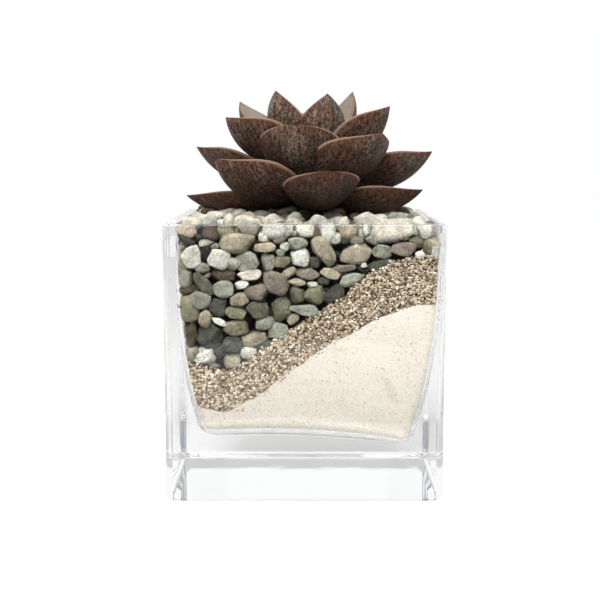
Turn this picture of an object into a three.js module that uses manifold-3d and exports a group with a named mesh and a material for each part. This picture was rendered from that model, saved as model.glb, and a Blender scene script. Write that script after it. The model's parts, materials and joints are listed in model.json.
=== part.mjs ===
// A rosette succulent in a square glass planter filled with sand, gravel and pebbles.
// Millimetres, +Z up. The origin is the middle of the planter's footprint, on the surface it stands on.
import * as THREE from 'three';
import { mergeVertices } from 'three/addons/utils/BufferGeometryUtils.js';
import Module from 'manifold-3d';

const wasm = await Module();
wasm.setup();

// ---- driving dimensions ----

const GAP = 0.3; // clearance between pieces that lie against each other

// glass planter: a pressed cube with walls that thicken downwards into a heavy base
const CUBE = 100;
const CORNER = 3.5; // radius of the four upright edges
const FOOT_ROUND = 1.2; // rounding of the bottom edge
const RIM_ROUND = 0.8;
const CAVITY_SHIFT = 1.2; // the cavity is pressed slightly off centre, towards +X
const CAVITY_HALF = 46.7; // half width of the cavity at the rim
const CAVITY_TAPER = 9; // how much narrower its half width gets towards the floor
const CAVITY_TAPER_POWER = 3.2; // high, so that the walls stay upright near the rim
const CAVITY_CORNER_TOP = 5;
const CAVITY_CORNER_FOOT = 11;
const FLOOR_EDGE = 20; // height of the cavity floor at its corners
const FLOOR_FILLET = 3; // radius between floor and wall at the corners
const FLOOR_SWELL = 4.7; // how much larger that radius is along each side's middle
const FLOOR_CROWN = 2; // rise of the floor from its corners to its middle
const FLOOR_LEAN = 0.04; // the floor falls towards +X by this share of the distance

// fill: the top of the sand and of the gravel, as x, z points along the front wall
const SAND_TOP = [[-47, 35], [-26, 31.5], [-14, 38], [-3, 47], [9, 56], [22, 64], [34, 70.5], [47, 71.5]];
const GRAVEL_TOP = [[-47, 51], [-26, 47], [-16, 54.5], [2, 66.5], [16, 75.5], [22, 82], [31, 87], [47, 88.5]];
const LAYER_DRIFT = 9; // how far the slope of both layers moves along x from the front to the back
const BED_TOP = 94.5; // top of the closely packed pebbles, under the loose ones
const CREVICE = 3; // how deep the crevices between the pebbles reach in from the walls

// root plug and stem
const PLANT_X = 1.5; // the plant stands slightly right of the middle
const PLUG = { top: 88, bottom: 62, topRadius: 17, bottomRadius: 14 };
const STEM = { bottom: 78, collar: 104, top: 124.5, footRadius: 2.4, collarRadius: 5, topRadius: 2 };

// larger pebbles of the bed that lie against the front wall
// x, z of the middle, half length, half height, and tilt in degrees, right end up
const FRONT_STONES = [
  [-24.3, 93.2, 6.3, 3.6, 8], [-39.8, 87.7, 3.9, 3.9, 30], [-36, 84.5, 2.8, 2.1, 10],
  [-30.4, 87.2, 4, 3.5, 0],
  [-19.7, 86.3, 4.5, 3.6, -10], [-25, 85.7, 2.6, 2.2, 0], [-19.7, 82, 4.1, 1.8, 2],
  [-14, 91.5, 3.5, 1.9, -4],
  [-7.9, 86.4, 3, 2.2, 25], [-2.5, 93.1, 3.3, 2, 12], [-1.7, 87.8, 3.3, 3.4, 20], [-43, 81.1, 2.9, 4, 10],
  [-36.2, 78.8, 4.9, 2.3, -45], [-28.6, 76.5, 4.2, 3.1, 0], [-17, 75.8, 4.1, 2.9, -5],
  [-9.8, 79, 5.2, 4.1, -35], [1.1, 82.3, 4.1, 2, -5], [-2.3, 74.6, 2.8, 2.9, 0], [-41, 69.7, 3.3, 4.9, 25],
  [-37.2, 72.8, 3.8, 3, -10], [-30.7, 69.8, 3.3, 3.2, 0], [-23.2, 72.8, 3.2, 2.5, 5],
  [-24, 68.3, 4.2, 2.2, -10], [-16.5, 69.5, 4, 3.2, -5], [-8.5, 69.6, 3.6, 4.4, 10], [0.5, 69.3, 5.3, 2, -2],
  [-35.3, 66.1, 2.1, 3, -15], [-33.5, 60.3, 4.8, 4.4, 20], [-24.2, 62.8, 4.5, 2.7, 8],
  [-14.3, 64.2, 3.5, 2.4, 10], [-9.1, 61.8, 3.8, 2.8, 5], [-17.9, 58.9, 4.5, 2.6, 12],
  [-25.8, 57, 3.6, 3, 0],
  [-35.7, 52.7, 3.8, 3.6, -30], [-26, 50.7, 3.4, 2.7, 20], [-19.9, 53.8, 3, 2, 0],
  [7.1, 90.2, 5.4, 3, -52], [18, 89.2, 5.7, 3.7, 2], [27, 90.1, 3.3, 2.3, -3], [35.1, 90.8, 4.6, 2.4, 8],
  [45, 90.3, 2.6, 2.5, 0], [9, 82.4, 3.4, 1.8, -18], [16.6, 80.4, 4.4, 2.1, 18], [10.7, 74.9, 4.3, 2.7, 32],
  [4.2, 74.4, 4.2, 3.3, 15],
];
// those against the other walls lie in staggered rows, from the top down
// shuffle: how far each is off its place, as a share of the pitch or rise; length, height: half sizes
const STACKED = {
  rows: 6, across: 8, pitch: 11, rise: 7.6, shuffle: 0.3, length: [4.4, 5.2], height: [3, 3.7], tilt: 24,
};
// half depth of a pebble at a wall: a share of its smaller half size, but enough to reach past the crevices
const WALL_DEPTH_SHARE = 0.9;
const WALL_DEPTH_LEAST = 2.25;

// pebbles on top: separate stones along the walls, and a ring of bedded ones nearer the stem
// x, y: middle; long, wide: half sizes along x and y before turn, in degrees; tall: full height
const LOOSE = [
  // against the front wall
  { x: -40.9, y: -42.8, long: 4.2, wide: 3, tall: 4.9, turn: 0, pale: true },
  { x: -33.3, y: -43, long: 3.2, wide: 3, tall: 4.8, turn: 0, pale: false },
  { x: -9.8, y: -42.6, long: 5.7, wide: 3.4, tall: 6.2, turn: 0, pale: true },
  { x: -0.2, y: -43.2, long: 3.6, wide: 2.8, tall: 4.6, turn: 0, pale: true },
  { x: 8, y: -43.2, long: 3.1, wide: 2.8, tall: 5.6, turn: 0, pale: true },
  { x: 15.9, y: -42.9, long: 4.2, wide: 3.1, tall: 4.9, turn: 0, pale: false },
  { x: 21.9, y: -43, long: 1.6, wide: 2.6, tall: 4.8, turn: 0, pale: true },
  { x: 31.7, y: -41.8, long: 7.8, wide: 4.2, tall: 7.6, turn: 0, pale: true },
  { x: 43.2, y: -42.6, long: 3.6, wide: 3.1, tall: 5.7, turn: 0, pale: true },
  // behind them
  { x: -41, y: -37, long: 4.2, wide: 2.4, tall: 7.2, turn: 0, pale: true },
  { x: -33.8, y: -37, long: 2.9, wide: 2.6, tall: 8, turn: 0, pale: true },
  { x: -27.2, y: -36.4, long: 2.8, wide: 2.8, tall: 8.8, turn: 0, pale: true },
  { x: -20, y: -41, long: 5, wide: 3.2, tall: 8.4, turn: 0, pale: true },
  { x: -11.4, y: -34, long: 3.6, wide: 2.8, tall: 8.6, turn: 0, pale: true },
  { x: -3.9, y: -37.4, long: 3.5, wide: 2.4, tall: 7.2, turn: 0, pale: true },
  { x: -3.6, y: -32.2, long: 3.5, wide: 2.5, tall: 8.6, turn: 0, pale: false },
  { x: 4.8, y: -38, long: 4, wide: 2.6, tall: 8, turn: 0, pale: true },
  { x: 13.6, y: -37, long: 3, wide: 2.4, tall: 7.2, turn: 0, pale: true },
  { x: 23.2, y: -36, long: 5.6, wide: 3, tall: 9.2, turn: 0, pale: true },
  { x: 33.6, y: -32.6, long: 3.6, wide: 2.8, tall: 8.8, turn: 0, pale: true },
  { x: 41.6, y: -36.4, long: 3, wide: 2.8, tall: 7.4, turn: 0, pale: true },
  { x: -21, y: -32.4, long: 3.5, wide: 2.8, tall: 8.8, turn: 0, pale: false },
  // along the right, the back and the left
  { x: 42.2, y: -6, long: 3.8, wide: 5.4, tall: 6.2, turn: 6, pale: true },
  { x: 27, y: 41.2, long: 6, wide: 4, tall: 6.2, turn: 6, pale: false },
  { x: -17, y: 41, long: 6.2, wide: 4.2, tall: 6.4, turn: 4, pale: true },
  { x: -39.8, y: 8, long: 3.8, wide: 5.6, tall: 6.2, turn: -5, pale: true },
];
const BEDDED = { count: 20, half: 24.5, length: [4.8, 5.6], width: [4.6, 5.2], height: [6, 7] };
const SUNK_SHARE = 0.25; // how much of a bedded pebble's height lies under the bed's top

// rosette: one leaf every golden angle round the stem, from the innermost outwards
const GOLDEN_ANGLE = 137.5;
const FIRST_ANGLE = -87.5;
const BASE_RADIUS = [1, 5]; // where the innermost and the outermost leaf leave the axis
// turn: degrees off the golden angle; reach and tip: where the leaf's point is, out from the axis and up;
// base: height at the stem; bow: degrees that the blade curls up along its length; roll: twist about it;
// cup: how far its margins rise; yaw: degrees that its foot is turned from its tip
// The leaf before the last two has been lost, so those stand one golden angle further on.
const LEAVES = [
  { turn: 0, reach: 2, tip: 134, base: 124, width: 8, thick: 4, bow: 10, roll: 0, cup: 0, yaw: 0 },
  { turn: 0, reach: 3.5, tip: 136, base: 123, width: 11, thick: 4.5, bow: 15, roll: 0, cup: 0, yaw: 0 },
  { turn: 0, reach: 5.5, tip: 137.5, base: 122, width: 13, thick: 5, bow: 20, roll: 0, cup: 0, yaw: 0 },
  { turn: 0, reach: 8, tip: 139, base: 121, width: 16, thick: 6, bow: 25, roll: 0, cup: 0, yaw: 0 },
  { turn: 0, reach: 12, tip: 140, base: 120, width: 18, thick: 7, bow: 25, roll: 0, cup: 0, yaw: 0 },
  { turn: -15, reach: 17.5, tip: 147.6, base: 120, width: 22, thick: 9, bow: 20, roll: 0, cup: 1, yaw: 55 },
  { turn: 9.5, reach: 19.5, tip: 148.2, base: 120, width: 19, thick: 8, bow: 20, roll: 0, cup: 1, yaw: 0 },
  { turn: 0, reach: 30, tip: 144.5, base: 122, width: 24, thick: 9, bow: 20, roll: 0, cup: 2, yaw: 0 },
  { turn: 0, reach: 18.4, tip: 146.3, base: 118, width: 20.5, thick: 9, bow: 22, roll: 0, cup: 1, yaw: -10 },
  { turn: 0, reach: 27, tip: 139, base: 119, width: 26, thick: 9, bow: 20, roll: 0, cup: 1, yaw: 0 },
  { turn: 2.5, reach: 35.5, tip: 137.6, base: 122, width: 28, thick: 12, bow: -10, roll: 8, cup: 3, yaw: 0 },
  { turn: -5, reach: 32.6, tip: 141.9, base: 119, width: 27, thick: 11, bow: -5, roll: -6, cup: 2.5, yaw: 0 },
  { turn: 0, reach: 34, tip: 136, base: 118, width: 28, thick: 10, bow: 15, roll: 0, cup: 3, yaw: 0 },
  { turn: 1, reach: 31, tip: 134.6, base: 116, width: 31.5, thick: 11, bow: 12, roll: 0, cup: 2.2, yaw: 0 },
  { turn: 0, reach: 36, tip: 136, base: 118, width: 28, thick: 10, bow: 15, roll: 0, cup: 3, yaw: 0 },
  { turn: 3, reach: 43.6, tip: 126.8, base: 114, width: 27, thick: 11, bow: -5, roll: 5, cup: 3, yaw: 0 },
  { turn: -5.5, reach: 44, tip: 131.5, base: 113, width: 29, thick: 12, bow: -5, roll: -6, cup: 2.5, yaw: 0 },
  { turn: 0, reach: 42, tip: 126, base: 114, width: 28, thick: 10, bow: 15, roll: 0, cup: 3, yaw: 0 },
  { turn: -7.5, reach: 44, tip: 122.4, base: 110, width: 30, thick: 13.5, bow: 1, roll: 6, cup: 3, yaw: 0 },
  { turn: -13, reach: 47.8, tip: 125, base: 113, width: 28, thick: 12, bow: 1, roll: -8, cup: 3, yaw: 0 },
  { turn: 0, reach: 46, tip: 118, base: 110, width: 28, thick: 10, bow: 10, roll: 0, cup: 3, yaw: 0 },
  { turn: 0, reach: 44, tip: 118.3, base: 109, width: 28, thick: 11.5, bow: 15, roll: 0, cup: 1.2, yaw: 0 },
  { turn: 0, reach: 46, tip: 116, base: 110, width: 28, thick: 10, bow: 10, roll: 0, cup: 3, yaw: 0 },
  { turn: 0, reach: 48, tip: 108.5, base: 106.5, width: 26, thick: 9, bow: 1, roll: 8, cup: 1.5, yaw: 0 },
  { turn: -4.5, reach: 49.5, tip: 111.2, base: 105, width: 27, thick: 9, bow: 1, roll: -8, cup: 2.5, yaw: 0 },
  { turn: 0, reach: 46, tip: 110, base: 107.5, width: 26, thick: 8, bow: 8, roll: 0, cup: 2, yaw: 0 },
  { turn: 137.5, reach: 47, tip: 106, base: 106, width: 26, thick: 8, bow: 4, roll: 0, cup: 2, yaw: 0 },
  { turn: 137.5, reach: 47, tip: 105, base: 106, width: 26, thick: 8, bow: 4, roll: 0, cup: 2, yaw: 0 },
];

// fineness of the curved surfaces
const SIDE_STEPS = 4;
const ARC_STEPS = 3;
const LEAF_ROWS = 7;
const LEAF_RING = 10;
const LOOSE_FINENESS = [8, 6]; // pebble facets round and up
const BEDDED_FINENESS = [7, 4];
const FRONT_FINENESS = [6, 4];
const STACKED_FINENESS = [6, 3];

// ---- helpers ----

const rad = THREE.MathUtils.degToRad;
const { clamp, lerp } = THREE.MathUtils;

// A closed mesh as a manifold solid.
function solid(geometry) {
  const bare = geometry.clone();
  bare.deleteAttribute('normal');
  bare.deleteAttribute('uv');
  const merged = mergeVertices(bare, 1e-4);
  const index = merged.index.array;
  const triangles = [];
  for (let i = 0; i < index.length; i += 3) {
    const [a, b, c] = [index[i], index[i + 1], index[i + 2]];
    if (a !== b && b !== c && c !== a) {
      triangles.push(a, b, c);
    }
  }
  return new wasm.Manifold(new wasm.Mesh({
    numProp: 3,
    vertProperties: new Float32Array(merged.attributes.position.array),
    triVerts: new Uint32Array(triangles),
  }));
}

// A manifold solid as three.js geometry.
function geometryOf(manifold) {
  const mesh = manifold.getMesh();
  const geometry = new THREE.BufferGeometry();
  geometry.setAttribute('position', new THREE.BufferAttribute(new Float32Array(mesh.vertProperties), 3));
  geometry.setIndex(new THREE.BufferAttribute(new Uint32Array(mesh.triVerts), 1));
  geometry.computeVertexNormals();
  return geometry;
}

// A repeatable value from 0 to 1 for each pair of a number and a channel.
function scatter(number, channel) {
  const wave = Math.sin(number * 12.9898 + channel * 78.233) * 43758.5453;
  return wave - Math.floor(wave);
}

function between([low, high], share) {
  return lerp(low, high, share);
}

// Height at x of a line through x, z points.
function heightOn(points, x) {
  const last = points.length - 1;
  const at = clamp(x, points[0][0], points[last][0]);
  const i = Math.max(1, points.findIndex(([px]) => px >= at));
  const [x0, z0] = points[i - 1];
  const [x1, z1] = points[i];
  return lerp(z0, z1, (at - x0) / (x1 - x0));
}

const group = new THREE.Group();

function add(name, geometry, material) {
  const mesh = new THREE.Mesh(geometry, material);
  mesh.name = name;
  group.add(mesh);
}

// ---- materials ----

const GLASS = new THREE.MeshStandardMaterial({ color: '#e9f0f2', roughness: 0.03, metalness: 0 });
const SAND = new THREE.MeshStandardMaterial({ color: '#ece5d8', roughness: 0.95, metalness: 0 });
const GRAVEL = new THREE.MeshStandardMaterial({ color: '#b09d84', roughness: 0.9, metalness: 0 });
const PEBBLES = new THREE.MeshStandardMaterial({ color: '#8a8c7d', roughness: 0.7, metalness: 0 });
const PALE_PEBBLES = new THREE.MeshStandardMaterial({ color: '#ddd6c6', roughness: 0.7, metalness: 0 });
const SOIL = new THREE.MeshStandardMaterial({ color: '#3a2c22', roughness: 1, metalness: 0 });
const STEM_SKIN = new THREE.MeshStandardMaterial({ color: '#6d5847', roughness: 0.8, metalness: 0 });
const LEAF = new THREE.MeshStandardMaterial({ color: '#5d4239', roughness: 0.5, metalness: 0 });

// ---- glass planter and the shape of its cavity ----

const RING = 4 * (SIDE_STEPS + ARC_STEPS);

// Point k of the ring round a square of this half width with rounded corners, starting at the front's middle.
function squarePoint(k, half, corner) {
  const quarter = SIDE_STEPS + ARC_STEPS;
  const along = k + SIDE_STEPS / 2;
  const step = along % quarter;
  const flat = half - corner;
  const point = new THREE.Vector2();
  if (step <= SIDE_STEPS) {
    point.set(lerp(-flat, flat, step / SIDE_STEPS), -half);
  } else {
    const angle = ((step - SIDE_STEPS) / ARC_STEPS) * (Math.PI / 2);
    point.set(flat + corner * Math.sin(angle), -flat - corner * Math.cos(angle));
  }
  return point.rotateAround(new THREE.Vector2(), Math.floor(along / quarter) * (Math.PI / 2));
}

// 1 in the middle of the cavity and of its sides, falling to 0 at its corners.
function crowning(x, y) {
  return Math.max(0, 1 - ((x * y) / (CAVITY_HALF - CAVITY_CORNER_FOOT) ** 2) ** 2);
}

// A lathe whose rings are rounded squares. Each row is half width, height, corner radius and centre x. A row
// with a bend gives its half width and height by how crowned the place is and by its x.
function squareLathe(rows) {
  const profile = rows.map((row) => new THREE.Vector2(row.half, row.z));
  const geometry = new THREE.LatheGeometry(profile, RING);
  const position = geometry.attributes.position;
  for (let i = 0; i < position.count; i += 1) {
    const row = rows[i % rows.length];
    const k = Math.floor(i / rows.length) % RING;
    const level = squarePoint(k, row.half, Math.min(row.corner, row.half));
    const { half, z } = row.bend ? row.bend(crowning(level.x, level.y), level.x) : row;
    const { x, y } = squarePoint(k, half, Math.min(row.corner, half));
    position.setXYZ(i, x + row.centre, y, z);
  }
  return geometry;
}

// Half width of the cavity at this height.
function wallAt(z) {
  const down = (CUBE - z) / (CUBE - FLOOR_EDGE);
  return CAVITY_HALF - CAVITY_TAPER * Math.max(down, 0) ** CAVITY_TAPER_POWER;
}

// Rows of the cavity's surface from its rim down to the middle of its floor, moved inwards by inset.
function cavityRows(inset, top) {
  const rows = [];
  const floorAt = (crowned, x) => FLOOR_EDGE + FLOOR_CROWN * crowned - FLOOR_LEAN * x;
  const put = (half, z, bend) => {
    const down = clamp((CUBE - z) / (CUBE - FLOOR_EDGE), 0, 1);
    const corner = lerp(CAVITY_CORNER_TOP, CAVITY_CORNER_FOOT, down);
    rows.push({ half, z, corner, centre: CAVITY_SHIFT, bend });
  };
  for (const z of [top, 82, 68, 57, 48, 40, 34]) {
    put(wallAt(z) - inset, z);
  }
  for (const angle of [0, 30, 60, 90]) {
    const bend = (crowned, x) => {
      const fillet = FLOOR_FILLET + FLOOR_SWELL * crowned;
      const filletTop = floorAt(crowned, x) + fillet;
      return {
        half: wallAt(filletTop) - fillet * (1 - Math.cos(rad(angle))) - inset,
        z: filletTop - fillet * Math.sin(rad(angle)) + inset,
      };
    };
    put(bend(0, 0).half, bend(0, 0).z, bend);
  }
  const middle = (wallAt(FLOOR_EDGE) - FLOOR_FILLET - FLOOR_SWELL) / 2;
  for (const half of [middle, 0]) {
    put(half, FLOOR_EDGE + inset, (crowned, x) => ({ half, z: floorAt(crowned, x) + inset }));
  }
  return rows;
}

function planterGeometry() {
  const half = CUBE / 2;
  const outer = (width, z) => ({ half: width, z, corner: CORNER, centre: 0 });
  const foot = [outer(0, 0), outer(half - FOOT_ROUND, 0)];
  for (const angle of [45, 90]) {
    foot.push(outer(
      half - FOOT_ROUND * (1 - Math.sin(rad(angle))),
      FOOT_ROUND * (1 - Math.cos(rad(angle))),
    ));
  }
  const rim = [outer(half, CUBE - RIM_ROUND), outer(half - RIM_ROUND, CUBE)];
  const innerRim = {
    half: CAVITY_HALF + RIM_ROUND, z: CUBE, corner: CAVITY_CORNER_TOP, centre: CAVITY_SHIFT,
  };
  return squareLathe([...foot, ...rim, innerRim, ...cavityRows(0, CUBE - RIM_ROUND)]);
}

add('glass_planter', planterGeometry(), GLASS);

// ---- fill: what the cavity holds, split into layers ----

const ABOVE = CUBE + 20;

function cavityFill(inset) {
  const rows = cavityRows(inset, ABOVE).reverse();
  rows.push({ half: 0, z: ABOVE, corner: 0, centre: CAVITY_SHIFT });
  return solid(squareLathe(rows));
}

// How far the layers' slope has drifted along x at this depth.
function drift(y) {
  const share = (y + CAVITY_HALF) / (2 * CAVITY_HALF);
  return LAYER_DRIFT * Math.sin(share * Math.PI / 2);
}

// A block across the cavity, from under its floor up to the height top(x, y).
function upTo(top) {
  const span = 2 * CAVITY_HALF + 8;
  const block = new THREE.BoxGeometry(span, span, 1, 16, 4, 1);
  const position = block.attributes.position;
  for (let i = 0; i < position.count; i += 1) {
    const z = position.getZ(i) > 0 ? top(position.getX(i), position.getY(i)) : 0;
    position.setZ(i, z);
  }
  return solid(block);
}

function taperedPlug(grow) {
  const profile = [
    new THREE.Vector2(0, PLUG.bottom - grow),
    new THREE.Vector2(PLUG.bottomRadius + grow, PLUG.bottom - grow),
    new THREE.Vector2(PLUG.topRadius + grow, PLUG.top - 2),
    new THREE.Vector2(PLUG.topRadius - 2 + grow, PLUG.top + grow),
    new THREE.Vector2(0, PLUG.top + grow),
  ];
  return new THREE.LatheGeometry(profile, 24).rotateX(Math.PI / 2).translate(PLANT_X, 0, 0);
}

function stemShape(grow) {
  const profile = [
    new THREE.Vector2(0, STEM.bottom - 2 * grow),
    new THREE.Vector2(STEM.footRadius * 0.5 + grow, STEM.bottom - grow),
    new THREE.Vector2(STEM.footRadius + grow, STEM.bottom + 4),
    new THREE.Vector2(STEM.collarRadius * 0.8 + grow, STEM.collar - 10),
    new THREE.Vector2(STEM.collarRadius + grow, STEM.collar),
    new THREE.Vector2(STEM.collarRadius * 0.8 + grow, (STEM.collar + STEM.top) / 2),
    new THREE.Vector2(STEM.topRadius + grow, STEM.top + grow),
    new THREE.Vector2(0, STEM.top + 2 * grow),
  ];
  return new THREE.LatheGeometry(profile, 12).rotateX(Math.PI / 2).translate(PLANT_X, 0, 0);
}

const cavity = cavityFill(GAP);
const plugHole = solid(taperedPlug(GAP));
const stemHole = solid(stemShape(GAP));
const sandTop = (x, y) => heightOn(SAND_TOP, x + drift(y));
const gravelTop = (x, y) => heightOn(GRAVEL_TOP, x + drift(y));
const lift = GAP * 1.4; // upright distance that leaves the clearance across the sloping layers

const sand = cavity.intersect(upTo(sandTop));
add('white_sand', geometryOf(sand.subtract(plugHole)), SAND);

const gravel = cavity.intersect(upTo(gravelTop)).subtract(upTo((x, y) => sandTop(x, y) + lift));
add('gravel_band', geometryOf(gravel.subtract(plugHole)), GRAVEL);

add('root_plug', geometryOf(solid(taperedPlug(0)).subtract(stemHole)), SOIL);
add('stem', stemShape(0), STEM_SKIN);

// ---- pebbles ----

// A flattened, slightly irregular stone lying on z = 0, its middle over the origin and its length along x.
function pebbleGeometry(number, length, width, height, [round, up]) {
  const stone = new THREE.SphereGeometry(1, round, up).rotateX(Math.PI / 2);
  const position = stone.attributes.position;
  for (let i = 0; i < position.count; i += 1) {
    const x = position.getX(i);
    const y = position.getY(i);
    const z = position.getZ(i);
    const dent = 1 - 0.09 * (1 + Math.sin(2.3 * x + 1.7 * y + number)) * (1 - z * z);
    position.setXYZ(i, x * dent * length, y * dent * width, (z + 1) * (height / 2));
  }
  return stone;
}

// A ring of pebbles round the stem, on a square, each sunk a little into the top of the bed.
function beddedStones({ count, half, length, width, height }) {
  const stones = [];
  for (let number = 0; number < count; number += 1) {
    const round = (4 * number) / count;
    const side = Math.floor(round);
    const quarter = side * (Math.PI / 2);
    const middle = new THREE.Vector2(lerp(-half, half, round - side), -half);
    middle.rotateAround(new THREE.Vector2(), quarter);
    const [long, wide, tall] = [length, width, height].map((range, channel) => (
      between(range, scatter(number + half, channel))
    ));
    const stone = pebbleGeometry(number, long, wide, tall, BEDDED_FINENESS).rotateZ(quarter);
    stones.push(solid(stone.translate(CAVITY_SHIFT + middle.x, middle.y, BED_TOP - tall * SUNK_SHARE)));
  }
  return stones;
}

// A pebble that lies against one of the walls, u along it from its middle, cut to the space of the bed.
function wallStone(number, quarter, [u, z, long, high, tilt], space) {
  const thick = Math.max(WALL_DEPTH_SHARE * Math.min(long, high), WALL_DEPTH_LEAST);
  const fineness = quarter ? STACKED_FINENESS : FRONT_FINENESS;
  const stone = pebbleGeometry(number, long, thick, 2 * high, fineness).translate(0, 0, -high);
  stone.rotateY(rad(-tilt)).translate(u, thick + GAP - wallAt(z), z);
  return solid(stone.rotateZ(quarter * (Math.PI / 2)).translate(CAVITY_SHIFT, 0, 0)).intersect(space);
}

// Staggered rows of pebbles on one wall, each as u, z, half length, half height and tilt.
function stackedStones(quarter) {
  const stones = [];
  const { rows, across, pitch, rise, shuffle, length, height, tilt } = STACKED;
  for (let row = 0; row < rows; row += 1) {
    for (let place = 0; place < across; place += 1) {
      const number = (quarter * rows + row) * across + place;
      const [aside, down, long, high, turn] = [0, 1, 2, 3, 4].map((channel) => scatter(number, channel));
      const u = (place + 0.5 * (row % 2) + shuffle * (aside - 0.5) - across / 2 + 0.25) * pitch;
      const z = BED_TOP - height[0] - (row + shuffle * (down - 0.5)) * rise;
      stones.push([u, z, between(length, long), between(height, high), tilt * (turn - 0.5)]);
    }
  }
  return stones;
}

LOOSE.forEach(({ x, y, long, wide, tall, turn, pale }, number) => {
  const stone = pebbleGeometry(number, long, wide, tall, LOOSE_FINENESS).rotateZ(rad(turn));
  const name = `top_pebble_${String(number + 1).padStart(2, '0')}`;
  add(name, stone.translate(x, y, BED_TOP + GAP), pale ? PALE_PEBBLES : PEBBLES);
});

const bedSpace = cavity.intersect(upTo(() => BED_TOP)).subtract(upTo((x, y) => gravelTop(x, y) + lift));
let bed = bedSpace.intersect(cavityFill(GAP + CREVICE));
const frontStones = FRONT_STONES.map(([x, ...rest]) => [x - CAVITY_SHIFT, ...rest]);
[frontStones, ...[1, 2, 3].map(stackedStones)].forEach((stones, quarter) => {
  stones.forEach((stone, number) => {
    bed = bed.add(wallStone(number, quarter, stone, bedSpace));
  });
});
for (const stone of beddedStones(BEDDED)) {
  bed = bed.add(stone);
}
add('pebble_bed', geometryOf(bed.subtract(plugHole).subtract(stemHole)), PEBBLES);

// ---- leaves ----

// Rises from its value at the foot to 1 at the widest place, then falls to 0 at the tip.
function swell(share, foot, widest, power, bluntness) {
  if (share < widest) {
    return foot + (1 - foot) * Math.sin((Math.PI / 2) * (share / widest));
  }
  return (1 - ((share - widest) / (1 - widest)) ** power) ** bluntness;
}

// A thick pointed leaf along +X from the origin, its inner face up. The outer face is rounded at the foot and
// keeled towards the tip. grow makes it larger all round.
function leafGeometry(leaf, length, grow) {
  const body = new THREE.CylinderGeometry(1, 1, 1, LEAF_RING, LEAF_ROWS).rotateZ(-Math.PI / 2);
  const position = body.attributes.position;
  const bend = rad(leaf.bow);
  for (let i = 0; i < position.count; i += 1) {
    const onAxis = Math.hypot(position.getY(i), position.getZ(i)) < 0.5;
    const share = 1 - (0.5 - position.getX(i)) ** 1.15;
    const angle = Math.atan2(position.getZ(i), position.getY(i));
    const thickness = onAxis ? 0 : swell(share, 0.62, 0.45, 2.6, 0.95);
    const half = onAxis ? 0 : (leaf.width / 2) * swell(share, 0.5, 0.55, 2, 0.8) + grow;
    const outwards = Math.abs(Math.cos(angle));
    const y = half * Math.cos(angle);
    const keel = 2.2 - 0.9 * share;
    const under = (0.78 * leaf.thick * thickness + grow) * (1 - outwards ** keel) ** 0.75;
    const over = (0.22 * leaf.thick * thickness * (1 - 0.9 * share) + grow) * (1 - outwards ** 2) ** 0.75;
    const cup = leaf.cup * (y / (leaf.width / 2)) ** 2 * clamp(1.3 * share, 0, 1);
    const z = (onAxis ? 0 : Math.sin(angle) < 0 ? -under : over) + cup;
    const turn = bend * (share - 0.5);
    const chord = 2 * Math.sin(bend / 2);
    const along = (length * (Math.sin(turn) + Math.sin(bend / 2))) / chord;
    const sag = (-length * (Math.cos(turn) - Math.cos(bend / 2))) / chord;
    position.setXYZ(i, along - z * Math.sin(turn), y, sag + z * Math.cos(turn));
  }
  return body;
}

// The leaf stood at its place on the stem.
function placedLeaf(leaf, number, grow) {
  const tipAngle = rad(FIRST_ANGLE + GOLDEN_ANGLE * number + leaf.turn);
  const footAngle = tipAngle + rad(leaf.yaw);
  const footRadius = between(BASE_RADIUS, Math.min(1, number / 20));
  const foot = new THREE.Vector3(
    PLANT_X + footRadius * Math.cos(footAngle), footRadius * Math.sin(footAngle), leaf.base,
  );
  const tip = new THREE.Vector3(
    PLANT_X + leaf.reach * Math.cos(tipAngle), leaf.reach * Math.sin(tipAngle), leaf.tip,
  );
  const along = tip.clone().sub(foot);
  const length = along.length();
  along.normalize();
  const side = new THREE.Vector3(0, 0, 1).cross(along).normalize();
  side.applyAxisAngle(along, rad(leaf.roll));
  const up = along.clone().cross(side);
  const place = new THREE.Matrix4().makeBasis(along, side, up).setPosition(foot);
  return leafGeometry(leaf, length, grow).applyMatrix4(place);
}

const inner = []; // leaves already placed, each grown by the clearance
LEAVES.forEach((leaf, number) => {
  let body = solid(placedLeaf(leaf, number, 0)).subtract(stemHole);
  for (const neighbour of inner) {
    body = body.subtract(neighbour);
  }
  inner.push(solid(placedLeaf(leaf, number, GAP)));
  // a corner cut off by a neighbour is dropped
  const [blade] = body.decompose().sort((a, b) => b.volume() - a.volume());
  add(`leaf_${String(number + 1).padStart(2, '0')}`, geometryOf(blade), LEAF);
});

export default group;
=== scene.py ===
"""A rosette succulent in a square glass planter, dressed round its packed model: pressed glass, layered sand
and grit, river pebbles, and thick mottled leaves. Metres, +Z up, the front towards -Y."""

import json
import math

import bmesh
import bpy
import numpy as np
from bpy.props import FloatProperty, FloatVectorProperty, IntProperty, PointerProperty
from mathutils import Matrix, Vector


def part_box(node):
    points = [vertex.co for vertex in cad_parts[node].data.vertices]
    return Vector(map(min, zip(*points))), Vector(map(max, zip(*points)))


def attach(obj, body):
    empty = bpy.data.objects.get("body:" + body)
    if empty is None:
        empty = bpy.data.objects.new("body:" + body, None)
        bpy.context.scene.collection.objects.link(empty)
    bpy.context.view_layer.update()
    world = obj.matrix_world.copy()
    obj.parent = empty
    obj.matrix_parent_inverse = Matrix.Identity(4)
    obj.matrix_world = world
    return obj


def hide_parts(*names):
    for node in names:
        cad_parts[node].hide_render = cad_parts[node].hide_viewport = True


bl_info = {
    "name": "Succulent in Glass Planter",
    "version": (1, 0, 0),
    "blender": (4, 5, 0),
    "location": "3D View > Sidebar > Planter",
    "description": "A rosette succulent in a glass cube layered with sand, grit and river pebbles",
    "category": "Add Mesh",
}

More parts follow.
